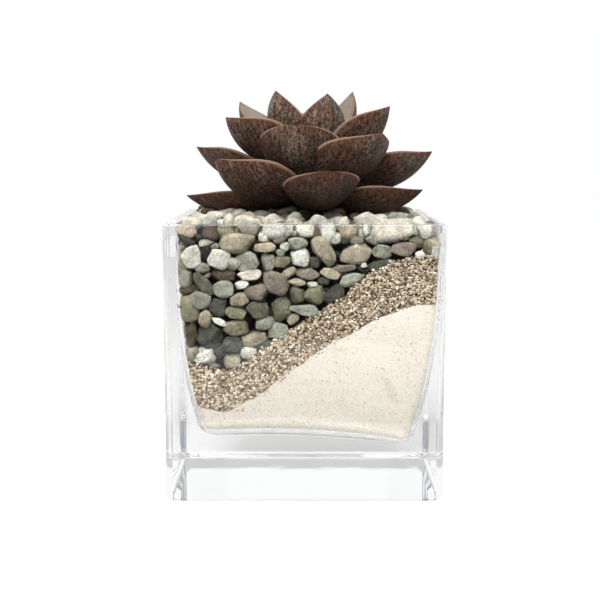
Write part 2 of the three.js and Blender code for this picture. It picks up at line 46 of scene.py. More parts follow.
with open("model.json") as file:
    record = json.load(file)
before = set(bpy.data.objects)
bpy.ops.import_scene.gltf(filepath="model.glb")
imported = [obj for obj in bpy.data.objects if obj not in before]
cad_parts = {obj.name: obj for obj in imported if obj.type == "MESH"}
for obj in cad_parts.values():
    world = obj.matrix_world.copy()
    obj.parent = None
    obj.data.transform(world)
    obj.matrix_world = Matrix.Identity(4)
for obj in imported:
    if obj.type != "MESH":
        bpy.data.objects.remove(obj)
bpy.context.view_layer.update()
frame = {"nodes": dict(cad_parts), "record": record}

MM = 0.001
BODY = "root"
CUBE_LOW, CUBE_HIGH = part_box("glass_planter")
CUBE = CUBE_HIGH.z
WALLS = ("front", "right", "back", "left")      # a wall's place here is its number of quarter turns
GOLDEN_ANGLE = math.radians(137.5)
BLEND = {"data_type": "RGBA"}                                   # settings of a mix of two colours,
SHADE = {"data_type": "RGBA", "blend_type": "MULTIPLY"}         # and of one that darkens or lightens


# ---- colours and nodes ----

def linear(value):
    """An sRGB hex colour as linear red, green, blue and alpha."""
    parts = [int(value[i:i + 2], 16) / 255 for i in (1, 3, 5)]
    return [c / 12.92 if c <= 0.04045 else ((c + 0.055) / 1.055) ** 2.4 for c in parts] + [1.0]


def add_node(tree, kind, inputs=None, stops=None, **settings):
    """Adds a node. inputs gives a socket its value, or the socket or node that feeds it, a node by its
    first live output. stops gives a ramp its places and colours."""
    node = tree.nodes.new(kind)
    for name, value in settings.items():
        setattr(node, name, value)
    for key, value in (inputs or {}).items():
        if isinstance(value, bpy.types.Node):
            value = next(socket for socket in value.outputs if socket.enabled)
        if isinstance(value, bpy.types.NodeSocket):
            tree.links.new(value, node.inputs[key])
        else:
            node.inputs[key].default_value = value
    if stops:
        ramp = node.color_ramp.elements
        while len(ramp) < len(stops):
            ramp.new(1.0)
        for element, (place, shade) in zip(ramp, stops):
            element.position = place
            element.color = linear(shade) if isinstance(shade, str) else (shade, shade, shade, 1)
    return node


def new_material(name):
    """A material, its empty node tree, and the object coordinates that its patterns are laid in."""
    material = bpy.data.materials.new(name)
    material.use_nodes = True
    tree = material.node_tree
    tree.nodes.clear()
    return material, tree, add_node(tree, "ShaderNodeTexCoord").outputs["Object"]


# ---- meshes ----

def add_piece(name, vertices, faces, material, slot, stands_for=(), smooth=True, tones=None, uv=None):
    """A mesh object of this part: it rides on the root body and stands for the CAD nodes it is given."""
    if isinstance(faces, np.ndarray):
        faces = faces.tolist()
    mesh = bpy.data.meshes.new(name)
    mesh.from_pydata(np.asarray(vertices, float), [], faces)
    mesh.validate()
    if smooth:
        mesh.shade_smooth()
    if tones is not None:
        layer = mesh.color_attributes.new("tone", "FLOAT_COLOR", "POINT")
        layer.data.foreach_set("color", np.asarray(tones, float).ravel())
    if uv is not None:
        corners = np.zeros(len(mesh.loops), int)
        mesh.loops.foreach_get("vertex_index", corners)
        layer = mesh.uv_layers.new(name="blade")
        layer.data.foreach_set("uv", np.asarray(uv, float)[corners].ravel())
    mesh.materials.append(material)
    piece = bpy.data.objects.new(name, mesh)
    bpy.context.scene.collection.objects.link(piece)
    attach(piece, BODY)
    if stands_for:
        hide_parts(*stands_for)
    return piece


def icosphere(subdivisions):
    """Unit vectors and triangles of a geodesic sphere."""
    ball = bmesh.new()
    bmesh.ops.create_icosphere(ball, subdivisions=subdivisions, radius=1)
    directions = np.array([v.co[:] for v in ball.verts])
    triangles = np.array([[v.index for v in f.verts] for f in ball.faces])
    ball.free()
    return directions, triangles


def ring_faces(rows, ring):
    """Quads between successive rings of points, each closed on itself, and a face over the first ring and
    the last."""
    faces = []
    for start in range(0, (rows - 1) * ring, ring):
        for k in range(ring):
            after = (k + 1) % ring
            faces.append((start + k, start + after, start + ring + after, start + ring + k))
    faces.append(tuple(reversed(range(ring))))
    faces.append(tuple(range((rows - 1) * ring, rows * ring)))
    return faces


def smooth_step(value, low, high):
    """0 up to low, 1 from high, and a smooth rise between them."""
    share = np.clip((value - low) / (high - low), 0, 1)
    return share * share * (3 - 2 * share)


# ---- glass planter and its cavity ----

class GlassSettings(bpy.types.PropertyGroup):
    """Sizes and finish of the glass planter."""
    corner: FloatProperty(
        name="Corner", description="Radius of the upright edges", default=3.2 * MM, unit="LENGTH")
    foot_round: FloatProperty(
        name="Foot rounding", description="Radius of the bottom edge", default=2 * MM, unit="LENGTH")
    rim_round: FloatProperty(
        name="Rim rounding", description="Radius of the rim's edges", default=0.8 * MM, unit="LENGTH")
    cavity_shift: FloatProperty(
        name="Cavity shift", description="How far the cavity is off centre", default=1.2 * MM, unit="LENGTH")
    cavity_half: FloatProperty(
        name="Cavity half width", description="Half width of the cavity at the rim", default=46.7 * MM,
        unit="LENGTH")
    taper: FloatProperty(
        name="Taper", description="How much narrower the cavity's half width gets at its floor",
        default=9 * MM, unit="LENGTH")
    taper_power: FloatProperty(
        name="Taper power", description="High keeps the walls upright near the rim", default=3.2)
    corner_top: FloatProperty(
        name="Cavity corner, top", description="Radius of the cavity's corners at the rim", default=1.2 * MM,
        unit="LENGTH")
    corner_foot: FloatProperty(
        name="Cavity corner, foot", description="Radius of the cavity's corners at its floor",
        default=4.5 * MM, unit="LENGTH")
    floor_edge: FloatProperty(
        name="Floor edge", description="Height of the cavity floor at its corners", default=20 * MM,
        unit="LENGTH")
    floor_fillet: FloatProperty(
        name="Floor fillet", description="Radius between floor and wall at the corners", default=2.4 * MM,
        unit="LENGTH")
    fillet_lean: FloatProperty(
        name="Fillet lean", description="Share by which that radius shrinks along +X", default=0.6)
    floor_swell: FloatProperty(
        name="Floor swell", description="How much larger that radius is along the sides", default=4.7 * MM,
        unit="LENGTH")
    floor_crown: FloatProperty(
        name="Floor crown", description="Rise of the floor towards its middle", default=2 * MM, unit="LENGTH")
    floor_lean: FloatProperty(
        name="Floor lean", description="Share of the distance that the floor falls along +X", default=0.04)
    wave: FloatProperty(
        name="Waviness", description="Depth of the waves that the mould leaves in the cavity",
        default=0.12 * MM, unit="LENGTH")
    refraction: FloatProperty(name="IOR", description="Refractive index of soda-lime glass", default=1.51)
    tint: FloatVectorProperty(
        name="Tint", description="Colour of the glass", subtype="COLOR", size=4, default=linear("#fdfefe"))


def cavity_depth(z):
    """0 at the rim to 1 at the cavity's floor."""
    floor = bpy.context.scene.glass_settings.floor_edge
    return np.clip((CUBE - z) / (CUBE - floor), 0, 1)


def cavity_half(z):
    """Half width of the cavity at height z."""
    glass = bpy.context.scene.glass_settings
    return glass.cavity_half - glass.taper * cavity_depth(z) ** glass.taper_power


def cavity_corner(z):
    """Radius of the cavity's corners at height z."""
    glass = bpy.context.scene.glass_settings
    return glass.corner_top + (glass.corner_foot - glass.corner_top) * cavity_depth(z)


def ring_place(share, half, corner):
    """Points at share (0 to 4) of the way round a square with rounded corners."""
    quarter = np.floor(share)
    flat = half - corner
    length = (share - quarter) * (2 * flat + corner * math.pi / 2)
    turn = np.clip((length - 2 * flat) / np.maximum(corner, 1e-9), 0, math.pi / 2)
    x = -flat + np.minimum(length, 2 * flat) + corner * np.sin(turn)
    y = -flat - corner * np.cos(turn)
    cos, sin = np.cos(quarter * math.pi / 2), np.sin(quarter * math.pi / 2)
    return np.stack([x * cos - y * sin, x * sin + y * cos], -1)


def ring_shares(side_steps, arc_steps, half, corner):
    """Shares for ring_place: steps along the sides, closer near the corners, and even steps round the
    corners."""
    flat, arc = half - corner, corner * math.pi / 2
    bend = 2 * flat / (2 * flat + arc)
    side = (1 - np.cos(np.linspace(0, math.pi, side_steps + 1)[:-1])) / 2
    quarter = np.concatenate([bend * side, bend + (1 - bend) * np.linspace(0, 1, arc_steps + 1)[:-1]])
    return np.concatenate([quarter + k for k in range(4)])


def flat_ring(half, z, corner, centre, steps):
    """A level ring of points round a square with rounded corners."""
    corner = min(corner, half) - 1e-6
    place = ring_place(ring_shares(*steps, half, corner), half, corner)
    return np.column_stack([place[:, 0] + centre, place[:, 1], np.full(len(place), z)])


def cavity_ring(level, steps, inset=0.0):
    """A ring of points on the cavity's surface, moved inwards by inset. The level runs from 0 to 1 over the
    floor, to 2 round the fillet and to 3 up the walls."""
    glass = bpy.context.scene.glass_settings
    foot_half = cavity_half(glass.floor_edge)
    half, corner = foot_half * min(level, 1), glass.corner_foot * min(level, 1)
    shares = ring_shares(*steps, half, corner)
    rough = ring_place(shares, half, corner)
    crowned = 1 - (rough[:, 0] * rough[:, 1] / (glass.cavity_half - glass.corner_foot) ** 2) ** 2
    crowned = np.maximum(crowned, 0)
    lean = 1 - glass.fillet_lean * rough[:, 0] / glass.cavity_half
    fillet = glass.floor_fillet * lean + glass.floor_swell * crowned
    floor = glass.floor_edge + glass.floor_crown * crowned - glass.floor_lean * rough[:, 0]
    wall_foot = floor + fillet
    if level < 1:
        half, z, corner = (cavity_half(wall_foot) - fillet) * level, floor + inset, glass.corner_foot * level
    elif level < 2:
        angle = (2 - level) * math.pi / 2
        half = cavity_half(wall_foot) - fillet * (1 - math.cos(angle)) - inset
        z = wall_foot - fillet * math.sin(angle) + inset
        corner = cavity_corner(z)
    else:
        z = wall_foot + (CUBE - glass.rim_round - wall_foot) * (level - 2)
        half, corner = cavity_half(z) - inset, cavity_corner(z)
    place = ring_place(shares, half, corner)
    return np.column_stack([place[:, 0] + glass.cavity_shift, place[:, 1], z])


def glass_material():
    """Soda-lime glass, pressed in a mould and fire-polished: clear, glossy, with a faint waviness."""
    glass = bpy.context.scene.glass_settings
    material, tree, where = new_material("pressed_soda_lime_glass")
    # ripples about 17 mm apart, too shallow to see but for the bend in what shows through
    ripple = add_node(tree, "ShaderNodeTexNoise", {"Vector": where, "Scale": 60.0, "Detail": 1.0})
    bump = add_node(tree, "ShaderNodeBump", {"Height": ripple, "Strength": 0.02, "Distance": 1 * MM})
    body = add_node(tree, "ShaderNodeBsdfPrincipled", {
        "Base Color": glass.tint, "Roughness": 0.0, "IOR": glass.refraction, "Transmission Weight": 1.0,
        "Normal": bump})
    # shadow rays pass straight through, so that light reaches the fill and the card
    clear = add_node(tree, "ShaderNodeBsdfTransparent")
    light = add_node(tree, "ShaderNodeLightPath")
    mix = add_node(tree, "ShaderNodeMixShader", {0: light.outputs["Is Shadow Ray"], 1: body, 2: clear})
    add_node(tree, "ShaderNodeOutputMaterial", {"Surface": mix})
    return material


def mould_waves(ring):
    """Moves a ring of the cavity's surface by the slight waves of pressed glass, which fade out at the
    rim."""
    depth = bpy.context.scene.glass_settings.wave
    x, y, z = ring.T
    # waves in crossing directions, 20 to 70 mm long along an axis
    wave = np.sin(190 * x + 130 * z) * np.sin(170 * y - 90 * z) + 0.6 * np.sin(330 * (x + y) + 210 * z)
    wave *= depth * smooth_step(CUBE - z, 0, 30 * MM)
    ring *= 1 + (wave / np.maximum(np.hypot(x, y), 10 * MM))[:, None] * [1, 1, 0]


class PLANTER_OT_glass(bpy.types.Operator):
    """Press the glass planter: thin walls, rounded corners and a thick clear base."""
    bl_idname = "planter.glass"
    bl_label = "Glass planter"

    def execute(self, context):
        glass = context.scene.glass_settings
        half = (CUBE_HIGH.x - CUBE_LOW.x) / 2
        steps = (14, 12)
        # from the middle of the foot outwards, round its edge and up the outside
        outside = [(half * share, 0) for share in (0.01, 0.35, 0.7, 0.92)]
        for angle in np.radians(np.linspace(0, 90, 7)):
            outside.append((half - glass.foot_round * (1 - math.sin(angle)),
                            glass.foot_round * (1 - math.cos(angle))))
        outside += [(half, z) for z in np.linspace(glass.foot_round, CUBE - glass.rim_round, 16)[1:]]
        # over the rim
        turns = np.radians(np.linspace(0, 90, 5))
        for angle in turns[1:]:
            outside.append((half - glass.rim_round * (1 - math.cos(angle)),
                            CUBE - glass.rim_round * (1 - math.sin(angle))))
        rings = [flat_ring(width, z, glass.corner, 0, steps) for width, z in outside]
        for angle in turns[:0:-1]:
            width = glass.cavity_half + glass.rim_round * (1 - math.cos(angle))
            z = CUBE - glass.rim_round * (1 - math.sin(angle))
            rings.append(flat_ring(width, z, glass.corner_top, glass.cavity_shift, steps))
        # down the cavity's walls and over its floor
        levels = [np.linspace(0.02, 0.97, 12), np.linspace(1, 1.96, 12), np.linspace(2, 3, 30)]
        for level in np.concatenate(levels)[::-1]:
            ring = cavity_ring(level, steps)
            mould_waves(ring)
            rings.append(ring)
        add_piece("pressed_glass_planter", np.concatenate(rings), ring_faces(len(rings), len(rings[0])),
                  glass_material(), "glass", ["glass_planter"])
        return {"FINISHED"}


# ---- layers that fill the cavity ----

# Tops of the sand and of the grit along the front wall, as x and z in mm. Both dip a little from the left
# and then rise to the right.
SAND_TOP = [(-47, 35), (-26, 31.5), (-14, 38), (-3, 47), (9, 56), (22, 64), (34, 70.5), (47, 71.5)]
GRIT_TOP = [(-47, 51), (-26, 47), (-16, 54.5), (2, 66.5), (16, 75.5), (22, 82), (31, 87), (47, 88.5)]
LAYER_DRIFT = 9 * MM     # how far both slopes have moved to the left at the back wall
SAND_GAP = 0.12 * MM     # a film of air between the sand and the glass


def layer_top(points):
    """A function for the height of a layer's top at x, y, with the bends between its points eased."""
    x, z = (np.array(points) * MM).T
    line = np.linspace(x[0], x[-1], 189)
    ease = np.hanning(15) / np.hanning(15).sum()
    heights = np.convolve(np.pad(np.interp(line, x, z), 7, mode="edge"), ease, mode="valid")

    def height(x, y):
        share = (np.asarray(y) / bpy.context.scene.glass_settings.cavity_half + 1) / 2
        return np.interp(np.asarray(x) + LAYER_DRIFT * np.sin(share * math.pi / 2), line, heights)
    return height


sand_top, grit_top = layer_top(SAND_TOP), layer_top(GRIT_TOP)


def fill_mesh(inset, top):
    """A closed solid that fills the cavity, inset from its surface, up to the height top(x, y)."""
    glass = bpy.context.scene.glass_settings
    steps = (24, 8)
    rings = [cavity_ring(level, steps, inset)
             for level in (*np.linspace(0.03, 0.97, 8), *np.linspace(1, 1.95, 8))]
    foot = cavity_ring(2, steps, inset)
    shares = ring_shares(*steps, cavity_half(glass.floor_edge), glass.corner_foot)
    edge = top(foot[:, 0], foot[:, 1])
    for rise in np.linspace(0, 1, 17):
        z = foot[:, 2] + (edge - foot[:, 2]) * rise
        place = ring_place(shares, cavity_half(z) - inset, cavity_corner(z))
        rings.append(np.column_stack([place[:, 0] + glass.cavity_shift, place[:, 1], z]))
    rim = rings[-1].copy()
    for share in np.linspace(1, 0.03, 18)[1:]:
        x = (rim[:, 0] - glass.cavity_shift) * share + glass.cavity_shift
        y = rim[:, 1] * share
        rings.append(np.column_stack([x, y, top(x, y)]))
    return np.concatenate(rings), ring_faces(len(rings), len(rim))


# ---- sand ----

class SandSettings(bpy.types.PropertyGroup):
    """Colours and grain of the sand."""
    pale: FloatVectorProperty(
        name="Pale grains", description="Clean quartz", subtype="COLOR", size=4, default=linear("#f8f0e4"))
    deep: FloatVectorProperty(
        name="Deeper grains", description="Stained quartz between the pale grains", subtype="COLOR", size=4,
        default=linear("#cabba4"))
    speck: FloatVectorProperty(
        name="Specks", description="Dark mineral grains", subtype="COLOR", size=4, default=linear("#8b8379"))
    grain: FloatProperty(
        name="Grain", description="Size of a grain, drawn coarse enough to show", default=0.55 * MM,
        unit="LENGTH")


def sand_material():
    """Fine dry quartz sand, sieved: matt and cream, a soft salt-and-pepper of stained grains with rare
    specks."""
    sand = bpy.context.scene.sand_settings
    material, tree, where = new_material("dry_quartz_sand")
    grains = add_node(tree, "ShaderNodeTexVoronoi", {"Vector": where, "Scale": 1 / sand.grain})
    spread = add_node(tree, "ShaderNodeValToRGB", {"Fac": grains.outputs["Color"]},
                      stops=[(0.0, 0.0), (0.55, 0.25), (0.8, 0.7), (1.0, 1.0)])
    # clouds 12 mm across have more stained grains, or fewer
    drift = add_node(tree, "ShaderNodeTexNoise", {"Vector": where, "Scale": 1 / (12 * MM), "Detail": 3.0})
    tone = add_node(tree, "ShaderNodeMath", {0: spread, 1: drift}, operation="MULTIPLY")
    body = add_node(tree, "ShaderNodeMix", {0: tone, 6: sand.pale, 7: sand.deep}, **BLEND)
    # fewer than one grain in a hundred is a dark mineral, drawn coarser than it is so that it shows
    rare = add_node(tree, "ShaderNodeTexVoronoi", {"Vector": where, "Scale": 1 / (2.6 * MM)})
    near = add_node(tree, "ShaderNodeMath", {0: rare, 1: 0.12}, operation="LESS_THAN")
    faint = add_node(tree, "ShaderNodeMath", {0: near, 1: 0.55}, operation="MULTIPLY")
    coat = add_node(tree, "ShaderNodeMix", {0: faint, 6: body, 7: sand.speck}, **BLEND)
    bump = add_node(tree, "ShaderNodeBump", {"Height": grains, "Strength": 0.35, "Distance": sand.grain})
    shader = add_node(tree, "ShaderNodeBsdfPrincipled", {
        "Base Color": coat, "Roughness": 0.95, "Specular IOR Level": 0.0, "Normal": bump})
    add_node(tree, "ShaderNodeOutputMaterial", {"Surface": shader})
    return material


class PLANTER_OT_sand(bpy.types.Operator):
    """Pour the white sand: it fills the foot of the cavity, deepest at the right."""
    bl_idname = "planter.sand"
    bl_label = "White sand"

    def execute(self, context):
        def top(x, y):
            # the grit has left slight hollows, about 15 mm apart
            return sand_top(x, y) + 0.2 * MM + 0.35 * MM * np.sin(420 * x + 2 * np.sin(190 * y))
        vertices, faces = fill_mesh(SAND_GAP, top)
        sand = add_piece("poured_white_sand", vertices, faces, sand_material(), "sand", ["white_sand"])
        sand.data.set_sharp_from_angle(angle=math.radians(40))
        return {"FINISHED"}


# ---- grit ----

class GravelSettings(bpy.types.PropertyGroup):
    """Sizes and colours of the grit."""
    grain: FloatProperty(
        name="Grain", description="Middle diameter of a grain", default=1.05 * MM, unit="LENGTH")
    spread: FloatProperty(
        name="Spread", description="How much grains differ in size, as a share", default=0.38)
    straggle: FloatProperty(
        name="Straggle", description="How far grains stray over the layer's edges", default=0.9 * MM,
        unit="LENGTH")
    seed: IntProperty(name="Seed", description="Start of the scatter", default=11)


# Tones of the grit and how common each is.
GRIT_TONES = ["#d4c5ad", "#c2b099", "#ab9a83", "#e8dcc8", "#968571", "#cbb294", "#e9dfcd", "#85755f",
              "#bdb0a3"]
GRIT_SHARES = [0.2, 0.18, 0.14, 0.13, 0.1, 0.09, 0.08, 0.05, 0.03]
CORE_DEPTH = 2.4 * MM       # how deep behind the glass the core lies that the grains cover
CORE_TONE = "#7d6a54"       # and its brown, which shows between them


def grit_material():
    """Washed river grit, crushed and sieved: matt angular grains from cream to brown, each with its own
    tone."""
    material, tree, where = new_material("washed_river_grit")
    tone = add_node(tree, "ShaderNodeAttribute", attribute_name="tone")
    fleck = add_node(tree, "ShaderNodeTexNoise", {"Vector": where, "Scale": 1 / (0.7 * MM), "Detail": 2.0})
    level = add_node(tree, "ShaderNodeMapRange", {"Value": fleck, 1: 0.3, 2: 0.7, 3: 0.72, 4: 1.18})
    shade = add_node(tree, "ShaderNodeMix", {0: 1.0, 6: tone, 7: level}, **SHADE)
    shader = add_node(tree, "ShaderNodeBsdfPrincipled", {
        "Base Color": shade, "Roughness": 0.9, "Specular IOR Level": 0.0})
    add_node(tree, "ShaderNodeOutputMaterial", {"Surface": shader})
    return material


def scatter_grains(generator, places, radii, subdivisions, tones):
    """Angular grains at places: vertices, triangles and a tone for each vertex."""
    directions, triangles = icosphere(subdivisions)
    count, points = len(places), len(directions)
    turns = np.linalg.qr(generator.normal(size=(count, 3, 3)))[0]
    stretch = generator.uniform(0.72, 1.15, (count, 3))
    rough = 1 + generator.uniform(-0.22, 0.22, (count, points))
    local = directions[None] * rough[:, :, None] * stretch[:, None, :] * radii[:, None, None]
    vertices = np.einsum("gpi,gij->gpj", local, turns) + places[:, None, :]
    faces = triangles[None] + (np.arange(count) * points)[:, None, None]
    return vertices.reshape(-1, 3), faces.reshape(-1, 3), np.repeat(tones, points, 0)


def wall_grid(generator, pitch, low, high, quarter, inset):
    """Jittered places along one wall of the cavity, between the heights low(x, y) and high(x, y)."""
    glass = bpy.context.scene.glass_settings
    bend = 8 * MM       # a rough radius of its corner, only for the number of columns
    columns = int((2 * (glass.cavity_half - bend) + bend * math.pi / 2) / pitch)
    places = []
    for row, z in enumerate(np.arange(glass.floor_edge, CUBE, pitch * math.sqrt(3) / 2)):
        share = (np.arange(columns) + 0.5 * (row % 2) + generator.uniform(-0.3, 0.3, columns)) / columns
        height = z + generator.uniform(-0.3, 0.3, columns) * pitch
        for s, h in zip(np.clip(share, 0, 0.9999) + quarter, height):
            (x, y), = ring_place(np.array([s]), cavity_half(h) - inset, max(cavity_corner(h) - inset, 1e-5))
            places.append((x + glass.cavity_shift, y, h))
    places = np.array(places)
    x, y, z = places.T
    # grains stray further down into the sand than up among the pebbles
    stray = generator.uniform(-1, 1, (2, len(places))) * bpy.context.scene.gravel_settings.straggle
    return places[(z > low(x, y) + 1.5 * stray[0]) & (z < high(x, y) + stray[1])]


class PLANTER_OT_gravel(bpy.types.Operator):
    """Spread the band of tan grit: grains along each wall, over a core."""
    bl_idname = "planter.gravel"
    bl_label = "Gravel band"

    def execute(self, context):
        gravel = context.scene.gravel_settings
        generator = np.random.default_rng(gravel.seed)
        material = grit_material()
        palette = np.array([linear(tone) for tone in GRIT_TONES])
        # the core ends below the band's top, and its foot is lifted out of the sand
        core, faces = fill_mesh(CORE_DEPTH, lambda x, y: grit_top(x, y) - 1.5 * MM)
        below = sand_top(core[:, 0], core[:, 1]) + 0.3 * MM
        core[:, 2] = np.maximum(core[:, 2], below)
        brown = np.tile(linear(CORE_TONE), (len(core), 1))
        add_piece("gravel_core", core, faces, material, "gravel", ["gravel_band"], tones=brown)
        for quarter, side in enumerate(WALLS):
            parts = []
            # a layer of grains against the glass, and one behind it, drawn darker as painted shade
            for depth, subdivisions in ((0, 2 if side == "front" else 1), (1, 1)):
                pitch = gravel.grain * (0.92 + 0.12 * depth)
                inset = gravel.grain * (0.55 + 0.8 * depth)
                places = wall_grid(generator, pitch, sand_top, grit_top, quarter, inset)
                radii = gravel.grain / 2 * np.exp(generator.normal(0, gravel.spread / 2, len(places)))
                radii = np.minimum(radii, inset * 1.02)
                tones = palette[generator.choice(len(palette), len(places), p=GRIT_SHARES)]
                tones = tones * generator.uniform(0.88, 1.16, (len(places), 1)) * (1 - 0.35 * depth)
                tones *= 1 + 0.17 * smooth_step(places[:, :1], 10 * MM, -25 * MM)    # paler towards the left
                parts.append(scatter_grains(generator, places, radii, subdivisions, tones))
            (near, near_faces, near_tones), (far, far_faces, far_tones) = parts
            add_piece("gravel_grains_" + side, np.concatenate([near, far]),
                      np.concatenate([near_faces, far_faces + len(near)]), material, "gravel",
                      tones=np.concatenate([near_tones, far_tones]), smooth=False)
        return {"FINISHED"}


# ---- pebbles ----

class PebbleSettings(bpy.types.PropertyGroup):
    """Sizes of the pebbles."""
    shortest: FloatProperty(
        name="Shortest", description="Half length of the smallest pebble", default=1.5 * MM, unit="LENGTH")
    pitch: FloatProperty(
        name="Inner pitch", description="Spacing of the pebbles deep inside", default=8 * MM, unit="LENGTH")
    swelling: FloatProperty(
        name="Swelling",
        description="How much larger the pebbles at the walls are made, to press on each other",
        default=1.13)
    # painted shade: how much darker a pebble is drawn on its hidden side, where it lies in a crevice
    crevice_shade: FloatProperty(
        name="Painted_shade", description="How dark a pebble gets where it lies in a crevice", default=0.62)
    seed: IntProperty(name="Seed", description="Start of the scatter", default=5)


# Tones of the stones, and how common each is.
STONE_TONES = {
    "sage": "#9a998b", "moss": "#73705f", "tan": "#b1a791", "mauve": "#8a8074", "slate": "#595a50",
    "chalk": "#dcdace", "cream": "#e1dac8", "olive": "#8d8a73", "mint": "#a8aa9a", "ochre": "#c0b09c",
    "umber": "#61564b",
}
STONE_SHARES = [0.19, 0.15, 0.16, 0.12, 0.12, 0.06, 0.05, 0.06, 0.04, 0.01, 0.04]


def pebble_material():
    """River pebbles, worn round by water and dry: matt stone in grey-green, tan and slate. Clouding,
    speckle, thin veins and pits keep each from looking moulded."""
    material, tree, where = new_material("river_worn_stone")
    tone = add_node(tree, "ShaderNodeAttribute", attribute_name="tone")
    # veins about 0.3 mm wide, where a slow noise passes its middle
    slow = add_node(tree, "ShaderNodeTexNoise", {"Vector": where, "Scale": 1 / (6 * MM), "Detail": 3.0,
                                                 "Distortion": 0.8})
    centre = add_node(tree, "ShaderNodeMath", {0: slow, 1: 0.5}, operation="SUBTRACT")
    ridge = add_node(tree, "ShaderNodeMath", {0: centre}, operation="ABSOLUTE")
    veined = add_node(tree, "ShaderNodeMapRange", {"Value": ridge, 1: 0.004, 2: 0.018, 3: 0.6, 4: 1.0})
    # clouds 4.5 mm across, and speckle of 0.7 mm, coarser than real speckle so that it shows
    levels = []
    for size, detail, dark, light in ((4.5 * MM, 4.0, 0.66, 1.2), (0.7 * MM, 3.0, 0.74, 1.2)):
        speckle = add_node(tree, "ShaderNodeTexNoise", {"Vector": where, "Scale": 1 / size, "Detail": detail})
        levels.append(add_node(tree, "ShaderNodeMapRange", {
            "Value": speckle, 1: 0.32, 2: 0.68, 3: dark, 4: light}))
    level = levels[0]
    for other in (levels[1], veined):
        level = add_node(tree, "ShaderNodeMath", {0: level, 1: other}, operation="MULTIPLY")
    shade = add_node(tree, "ShaderNodeMix", {0: 1.0, 6: tone, 7: level}, **SHADE)
    pits = add_node(tree, "ShaderNodeTexVoronoi", {"Vector": where, "Scale": 1 / (1.3 * MM)})
    pit = add_node(tree, "ShaderNodeMapRange", {"Value": pits, 1: 0.0, 2: 0.3, 3: 0.0, 4: 1.0})
    bump = add_node(tree, "ShaderNodeBump", {"Height": speckle, "Strength": 0.5, "Distance": 0.25 * MM})
    dents = add_node(tree, "ShaderNodeBump", {"Height": pit, "Strength": 0.25, "Distance": 0.3 * MM,
                                              "Normal": bump})
    shader = add_node(tree, "ShaderNodeBsdfPrincipled", {
        "Base Color": shade, "Roughness": 0.9, "Specular IOR Level": 0.0, "Normal": dents})
    add_node(tree, "ShaderNodeOutputMaterial", {"Surface": shader})
    return material


def stone_points(generator, directions, squareness, wear, lean):
    """A worn stone within the unit cube: a rounded box, cut by blunt planes, most of them round its
    outline, with soft lumps, and then leaning."""
    power = (np.abs(directions) ** squareness).sum(1) ** (1 / squareness)
    points = directions / power[:, None]
    for number in range(11):
        facing = generator.normal(size=3) * ((1, 0.2, 1) if number < 6 else (1, 1, 1))
        facing /= np.linalg.norm(facing)
        over = points @ facing - generator.uniform(0.7, 0.94)
        points -= np.maximum(over, 0)[:, None] * facing * 0.92
    for pitch, depth in ((2.2, wear), (5.5, 0.35 * wear)):
        phases = generator.uniform(0, 2 * math.pi, 4)
        waves = generator.normal(0, pitch, (4, 3))
        points *= (1 + depth * np.sin(points @ waves.T + phases).sum(1))[:, None]
    points = points @ np.array(Matrix.Rotation(lean, 3, "Y"))
    return points / np.abs(points).max(0)


def any_tone(generator):
    """The name of a stone's tone, drawn by how common it is."""
    return list(STONE_TONES)[generator.choice(len(STONE_TONES), p=STONE_SHARES)]


def keep_in_cavity(points, inset):
    """Presses points that would lie in the glass back to the cavity's surface."""
    shift = bpy.context.scene.glass_settings.cavity_shift
    half, corner = cavity_half(points[:, 2]) - inset, cavity_corner(points[:, 2])
    local = points[:, :2] - [shift, 0]
    beyond = np.abs(local) - (half - corner)[:, None]
    outside = np.maximum(beyond, 0)
    length = np.hypot(*outside.T)
    far = length > corner
    scale = np.where(far, corner / np.maximum(length, 1e-9), 1)
    moved = np.sign(local) * (np.minimum(beyond, 0) + outside * scale[:, None] + (half - corner)[:, None])
    inside = points[:, 2] < CUBE + 1 * MM
    points[inside, :2] = moved[inside] + [shift, 0]
    return points


def build_stones(name, stones, generator, subdivisions, material, facing, slot="pebbles", stands_for=(),
                 wear=0.025, lean=0.0):
    """One mesh of stones, each a centre, three half sizes, a 3 x 3 turn, a squareness, a tone and a level.
    They keep their full tone on the side that is facing out, and painted shade darkens them towards the other
    side, where crevices lie."""
    crevice_shade = bpy.context.scene.pebble_settings.crevice_shade
    directions, triangles = icosphere(subdivisions)
    vertices, faces, tones = [], [], []
    for centre, sizes, turn, squareness, tone, level in stones:
        worn = stone_points(generator, directions, squareness, wear, generator.uniform(-lean, lean))
        shape = (worn * sizes) @ np.array(turn).T
        vertices.append(keep_in_cavity(shape + centre, STONE_GAP))
        faces.append(triangles + len(directions) * len(faces))
        out = shape @ np.array(facing)
        # painted shade, darker away from the facing side
        unshaded = 1 - crevice_shade * (1 - smooth_step(out / np.abs(out).max(), -0.7, 0.55))
        level = level * generator.uniform(0.86, 1.1) * unshaded[:, None]
        colour = np.array(linear(STONE_TONES[tone])[:3])
        tones.append(np.column_stack([colour * level, np.ones(len(directions))]))
    add_piece(name, np.concatenate(vertices), np.concatenate(faces), material, slot, stands_for,
              tones=np.concatenate(tones))


